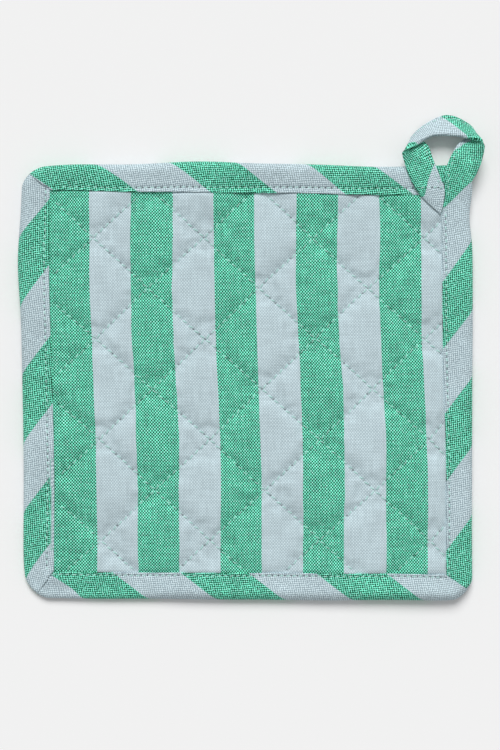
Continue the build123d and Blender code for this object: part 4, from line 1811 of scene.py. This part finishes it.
@dataclass
class HangingLoop:
    """The tape's free end: up from the right side, rolled over into an arch and down to the top side.

    The section's values are shares of the tape's half width across it, and of half its thickness
    through it. The leg that is sewn on the top side starts at the third station of the left leg.
    """

    plan: PadPlan
    cut: BiasCut
    leg_top: float = 9.6 * MM
    spacing: float = 0.5 * MM
    stitch_inset: float = 1.7 * MM
    stitch_level: float = 0.45
    row_start: float = 8 * MM
    row_stop: float = 10 * MM
    tail_length: float = 5.0 * MM
    bend_start: float = 0.4 * MM
    bend_length: float = 3.8 * MM
    fold_share: float = 0.82
    face_steps: int = 28
    fold_steps: int = 7
    inner_steps: int = 6
    swell: float = 0.14
    groove: float = 0.25
    groove_place: float = -0.7
    groove_half: float = 0.1
    ply_end: float = 0.75
    ply_gap: float = 0.06
    right_leg: tuple[TapeStation, ...] = (
        TapeStation((103.9, 79.0, 6.3), (90.2, 78.0, 6.2), thickness=1.6, stripe=123.1),
        TapeStation((103.9, 85.0, 6.95), (90.6, 84.0, 6.9), thickness=1.7),
        TapeStation((103.8, 90.0, 7.9), (90.6, 89.5, 7.9), thickness=1.9),
        TapeStation((104.1, 93.0, 8.3), (90.5, 93.0, 8.4), stripe=134.4),
        TapeStation((106.0, 96.2, 8.6), (90.7, 96.7, 8.6)),
        TapeStation((107.6, 100.0, 8.6), (91.9, 100.8, 8.6)),
        TapeStation((108.7, 104.0, 8.8), (94.4, 106.0, 8.2)),
    )
    arch: tuple[TapeStation, ...] = (
        TapeStation((109.2, 107.4, 10.8), (97.3, 110.0, 5.8)),
        TapeStation((108.8, 109.6, 12.2), (101.6, 113.2, 3.0)),
        TapeStation((107.4, 111.2, 12.4), (105.3, 115.4, 2.0)),
        TapeStation((104.0, 112.2, 11.2), (104.9, 117.7, 1.5), stripe=151.9),
        TapeStation((98.6, 113.7, 8.8), (100.6, 121.6, 1.3), stripe=155.4),
        TapeStation((90.5, 114.4, 7.2), (92.0, 124.3, 1.3), stripe=160.6),
        TapeStation((83.3, 113.7, 8.6), (82.4, 120.1, 1.3), stripe=167.0),
        TapeStation((77.8, 110.5, 11.0), (77.4, 115.6, 1.5), stripe=172.8),
        TapeStation((73.6, 108.5, 12.4), (76.4, 113.4, 2.0), stripe=176.0),
        TapeStation((71.5, 107.2, 12.2), (78.4, 113.2, 3.0)),
        TapeStation((71.2, 105.4, 10.6), (82.4, 110.6, 5.8)),
    )
    left_leg: tuple[TapeStation, ...] = (
        TapeStation((72.2, 102.2, 8.8), (85.2, 103.6, 8.4), stripe=180.2),
        TapeStation((75.0, 94.0, 8.6), (88.9, 94.0, 8.6), stripe=185.6),
        TapeStation((77.4, 89.3, 8.6), (90.6, 89.3, 8.6)),
        TapeStation((79.4, 86.4, 8.2), (90.4, 84.5, 8.2), thickness=1.9, stripe=190.8),
        TapeStation((80.2, 85.7, 7.9), (88.9, 77.8, 7.3), thickness=1.6, stripe=194.0),
    )

    def rails(self) -> tuple[np.ndarray, np.ndarray, np.ndarray, np.ndarray, np.ndarray]:
        """Gives the tape's folded and stitched edges in the frame, evenly spaced.

        Returns:
            The folded edge, the stitched edge, the thickness, the stripe and the run along the tape.
        """
        stations = [*self.right_leg, *self.arch, *self.left_leg]
        folded = np.array([station.folded for station in stations]) * MM
        stitched = np.array([station.stitched for station in stations]) * MM
        stripe = np.array([station.stripe for station in stations]) * MM
        thickness = np.array([station.thickness for station in stations]) * MM
        steps = np.linalg.norm(np.diff((folded + stitched) / 2, axis=0), axis=1)
        steps += np.linalg.norm(np.diff((folded - stitched) / 2, axis=0), axis=1) / 2
        length = np.concatenate([[0], np.cumsum(steps)])
        run = np.linspace(0, length[-1], round(length[-1] / self.spacing))
        known = ~np.isnan(stripe)
        stripe = np.interp(run, length[known], stripe[known])
        thickness = np.interp(run, length, thickness)
        edges = []
        for edge in (folded, stitched):
            even = self.curve(run, length, edge)
            x, y = self.plan.lay(even[:, 0], even[:, 1])
            edges.append(np.stack([x, y, even[:, 2]], axis=1))
        return edges[0], edges[1], thickness, stripe, run

    def curve(self, run: np.ndarray, length: np.ndarray, stations: np.ndarray) -> np.ndarray:
        """Draws a smooth curve through stations at given lengths, at each run.

        Args:
            run: Places along the curve.
            length: Length along the curve at each station.
            stations: The stations, one row each.

        Returns:
            The points of the curve, one row each.
        """
        slope = np.gradient(stations, length, axis=0)
        first = np.clip(np.searchsorted(length, run, side="right") - 1, 0, len(length) - 2)
        gap = (length[first + 1] - length[first])[:, None]
        share = (run - length[first])[:, None] / gap
        rise = share**2 * (3 - 2 * share)
        leave = share * (1 - share) ** 2 * gap
        arrive = share**2 * (share - 1) * gap
        eased = stations[first] * (1 - rise) + stations[first + 1] * rise
        return eased + slope[first] * leave + slope[first + 1] * arrive

    def section(self) -> tuple[np.ndarray, np.ndarray]:
        """Gives the folded tape's section: two plies joined along the fold, as a closed outline.

        Returns:
            The places across the tape, -1 at its stitched edge and 1 at its fold, and the places
            through it, -1 to 1.
        """
        flat = np.linspace(-1, self.fold_share, self.face_steps)
        turn = np.linspace(-math.pi / 2, math.pi / 2, self.fold_steps)[1:-1]
        row = np.exp(-(((flat - self.groove_place) / self.groove_half) ** 2))
        level = 1 + self.swell * np.cos(math.pi * flat / 2) - self.groove * row
        level[0] *= self.ply_end
        inner = np.linspace(-1, self.fold_share, self.inner_steps)
        gap = np.full(len(inner), self.ply_gap)
        fold = self.fold_share + (1 - self.fold_share) * np.cos(turn)
        across = np.concatenate([flat, fold, flat[::-1], inner, inner[::-1], flat[:1]])
        through = np.concatenate([-level, np.sin(turn) * level[-1], level[::-1], gap, -gap, -level[:1]])
        return across, through

    def build(self, finish: bpy.types.Material) -> bpy.types.Object:
        """Builds the loop's tape and dresses it.

        Args:
            finish: The striped tape.

        Returns:
            The finished piece.
        """
        folded, stitched, thickness, stripe, run = self.rails()
        across, through = self.section()
        wide, thick, half = self.axes(folded, stitched)
        middle = (folded + stitched) / 2
        points = middle[:, None] + wide[:, None] * (half[:, None] * across)[..., None]
        points = points + thick[:, None] * (thickness[:, None] / 2 * through)[..., None]
        out = -np.sign(through) * half[:, None] * (1 - across)
        cloth = self.cut.cloth(run[:, None], out, (stripe - run * math.sin(self.cut.angle))[:, None])
        faces = tube_faces(*points.shape[:2])
        piece = mesh_object("hanging_loop_tape", points.reshape(-1, 3), faces, cloth.reshape(-1, 2))
        # Marks the needle holes of the sewn end for their painted shade.
        mark_needle_shade(piece, self.shade_in_hole(points, middle).ravel())
        weld(piece)
        self.bend(piece)
        dress(piece, finish, "binding_tape", "hanging_loop", "loop_sewn_end")
        return piece

    def shade_in_hole(self, points: np.ndarray, middle: np.ndarray) -> np.ndarray:
        """Gives how far points lie in the holes of the top side's row, on the front of the sewn end.

        Args:
            points: Points of the tape, by station and section point.
            middle: Middle of the tape at each station.

        Returns:
            How far each point lies in a hole, from 0 to 1.
        """
        # The mark sets the painted shade in the holes of the sewn end.
        top, right = self.plan.sides[0], self.plan.sides[-1]
        x, y = points[..., 0] - self.plan.centre.x, points[..., 1] - self.plan.centre.y
        run, inset = self.plan.to_side(top, x, y)
        off_row = inset - self.plan.row_share(top, run) * self.plan.lip_inset(top, run)
        sewn_end = (points[..., 2] > middle[:, None, 2]) & (run > right.width_end - right.row_end)
        return self.plan.shade_in_hole(top, run, off_row) * sewn_end

    def axes(self, folded: np.ndarray, stitched: np.ndarray) -> tuple[np.ndarray, np.ndarray, np.ndarray]:
        """Gives the ways across and through the tape and its half width.

        Args:
            folded: The folded edge, one row for each place.
            stitched: The stitched edge.

        Returns:
            The way across, the way through and the half width at each place.
        """
        wide = folded - stitched
        half = np.linalg.norm(wide, axis=1) / 2
        wide = unit(wide)
        ahead = np.gradient((folded + stitched) / 2, axis=0)
        return wide, unit(np.cross(ahead, wide)), half

    def sew(self, finish: bpy.types.Material) -> bpy.types.Object:
        """Sews the row along the tape's open edge, on both of its faces.

        Args:
            finish: The sewing thread.

        Returns:
            The finished piece.
        """
        folded, stitched, thickness, _, run = self.rails()
        wide, thick, _ = self.axes(folded, stitched)
        holes_at = np.arange(self.row_start, run[-1] - self.row_stop, self.plan.stitch)
        starts, ends, ups = [], [], []
        for way in (-1, 1):
            edge = stitched + wide * self.stitch_inset
            edge = edge + way * thick * (self.stitch_level * thickness)[:, None]
            holes = interpolate(holes_at, run, edge)
            starts.append(holes[:-1])
            ends.append(holes[1:])
            ups.append(interpolate(holes_at, run, way * thick)[:-1])
        stitching = Stitching(radius=0.18 * MM, rise=0.14 * MM, slant=0.10 * MM)
        rows = [np.concatenate(parts) for parts in (starts, ends, ups)]
        piece = stitching.build("hanging_loop_stitches", *rows)
        self.bend(piece)
        dress(piece, finish, "sewing_thread")
        return piece

    def bend(self, piece: bpy.types.Object) -> None:
        """Bakes the piece's place in the frame into its points."""
        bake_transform(piece)

    def lift_over(self, holes: np.ndarray) -> np.ndarray:
        """Gives how far a row on the top side rises where it crosses the loop's sewn end."""
        sewn_edge = self.plan.centre.x + self.left_leg[2].folded[0] * MM
        return np.where(holes[:, 0] > sewn_edge, self.leg_top - holes[:, 2], 0.0)


# Studio

@dataclass
class Studio:
    """A pale floor, soft light from the loop's side and a camera straight above."""

    plan: PadPlan
    floor_colour: float = 0.888
    floor_size: float = 6.0
    sky: float = 0.42
    sun: float = 2.42
    sun_height: float = math.radians(48)
    sun_turn: float = math.radians(2.5)
    sun_softness: float = math.radians(32)
    lens: float = 85.0
    sensor: float = 36.0
    pad_pixel: tuple[float, float] = (248.0, 383.5)

    def build(self) -> None:
        """Builds the floor, the lights and the camera."""
        self.build_floor()
        self.build_light()
        self.build_camera()
        bpy.context.scene.view_settings.view_transform = "Standard"

    def build_floor(self) -> None:
        """Builds the pale floor that the pad lies on."""
        half = self.floor_size / 2
        corners = np.array([(-half, -half, 0), (half, -half, 0), (half, half, 0), (-half, half, 0)])
        floor = mesh_object("floor", corners, [[0, 1, 2, 3]], corners[:, :2])
        graph = NodeGraph("pale_floor")
        graph.shader.inputs["Base Color"].default_value = (*[self.floor_colour] * 3, 1)
        graph.shader.inputs["Roughness"].default_value = 1.0
        graph.shader.inputs["Specular IOR Level"].default_value = 0.0
        floor.data.materials.append(graph.material)

    def build_light(self) -> None:
        """Builds an even sky and one soft sun."""
        world = bpy.data.worlds.new("studio")
        bpy.context.scene.world = world
        world.use_nodes = True
        nodes, links = world.node_tree.nodes, world.node_tree.links
        seen = nodes.new("ShaderNodeLightPath")
        strength = nodes.new("ShaderNodeMapRange")
        links.new(seen.outputs["Is Camera Ray"], strength.inputs["Value"])
        strength.inputs["To Min"].default_value = self.sky
        strength.inputs["To Max"].default_value = self.floor_colour
        links.new(strength.outputs[0], nodes["Background"].inputs["Strength"])
        nodes["Background"].inputs["Color"].default_value = (1, 1, 1, 1)
        lamp = bpy.data.lights.new("window_light", "SUN")
        lamp.energy = self.sun
        lamp.angle = self.sun_softness
        light = bpy.data.objects.new("window_light", lamp)
        level = math.cos(self.sun_height)
        across, ahead = -math.sin(self.sun_turn) * level, math.cos(self.sun_turn) * level
        towards = Vector((across, ahead, math.sin(self.sun_height)))
        light.rotation_mode = "QUATERNION"
        light.rotation_quaternion = towards.to_track_quat("Z", "Y")
        bpy.context.scene.collection.objects.link(light)

    def build_camera(self) -> None:
        """Builds the camera, with the pad where the photograph has it."""
        data = bpy.data.cameras.new("camera")
        data.lens = self.lens
        data.sensor_width = self.sensor
        camera = bpy.data.objects.new("camera", data)
        right = (PHOTO_SIZE[0] / 2 - self.pad_pixel[0]) * PHOTO_PIXEL
        up = (self.pad_pixel[1] - PHOTO_SIZE[1] / 2) * PHOTO_PIXEL
        distance = max(PHOTO_SIZE) * PHOTO_PIXEL * self.lens / self.sensor
        camera.location = self.plan.centre + Vector((right, up, 0))
        camera.location.z = self.plan.seam_top + distance
        bpy.context.scene.collection.objects.link(camera)
        bpy.context.scene.camera = camera


def main() -> None:
    """Builds the pot holder and the studio round it."""
    logging.basicConfig(level=logging.INFO, format="%(message)s")
    plan = PadPlan()
    lattice = QuiltLattice(plan)
    cover_cloth = StripedCotton(stripe=19.1 * MM).material("striped_cover_cloth")
    tape_blue = YarnPair(
        warp=(0.310, 0.405, 0.450, 1),
        weft=(0.715, 0.875, 0.925, 1),
        fleck=(0.790, 0.935, 0.980, 1),
        slub=0.12,
    )
    tape_weave = StripedCotton(pale_blue=tape_blue, shade=0.93, painted_shade_in_holes=0.12, jitter=2.0, jitter_rate=1.4)
    tape_cloth = tape_weave.material("striped_bias_tape")
    thread = SpunThread().material("sewing_thread")
    Wadding(plan, lattice).build(LoftedWadding().material("lofted_wadding"))
    front = QuiltedCover(plan, lattice, Face.FRONT, steps=30, puff=1.72 * MM, seed=21)
    back = QuiltedCover(plan, lattice, Face.BACK, steps=20, puff=1.35 * MM, seed=22)
    for cover in (front, back):
        cover.build(cover_cloth)
        quilting_stitches(plan, lattice, cover, thread)
    binding = EdgeBinding(plan, BiasCut())
    loop = HangingLoop(plan, BiasCut())
    binding.build(tape_cloth)
    for face in Face:
        binding.sew(face, loop, thread)
    loop.build(tape_cloth)
    loop.sew(thread)
    Studio(plan).build()


if __name__ == "__main__":
    main()
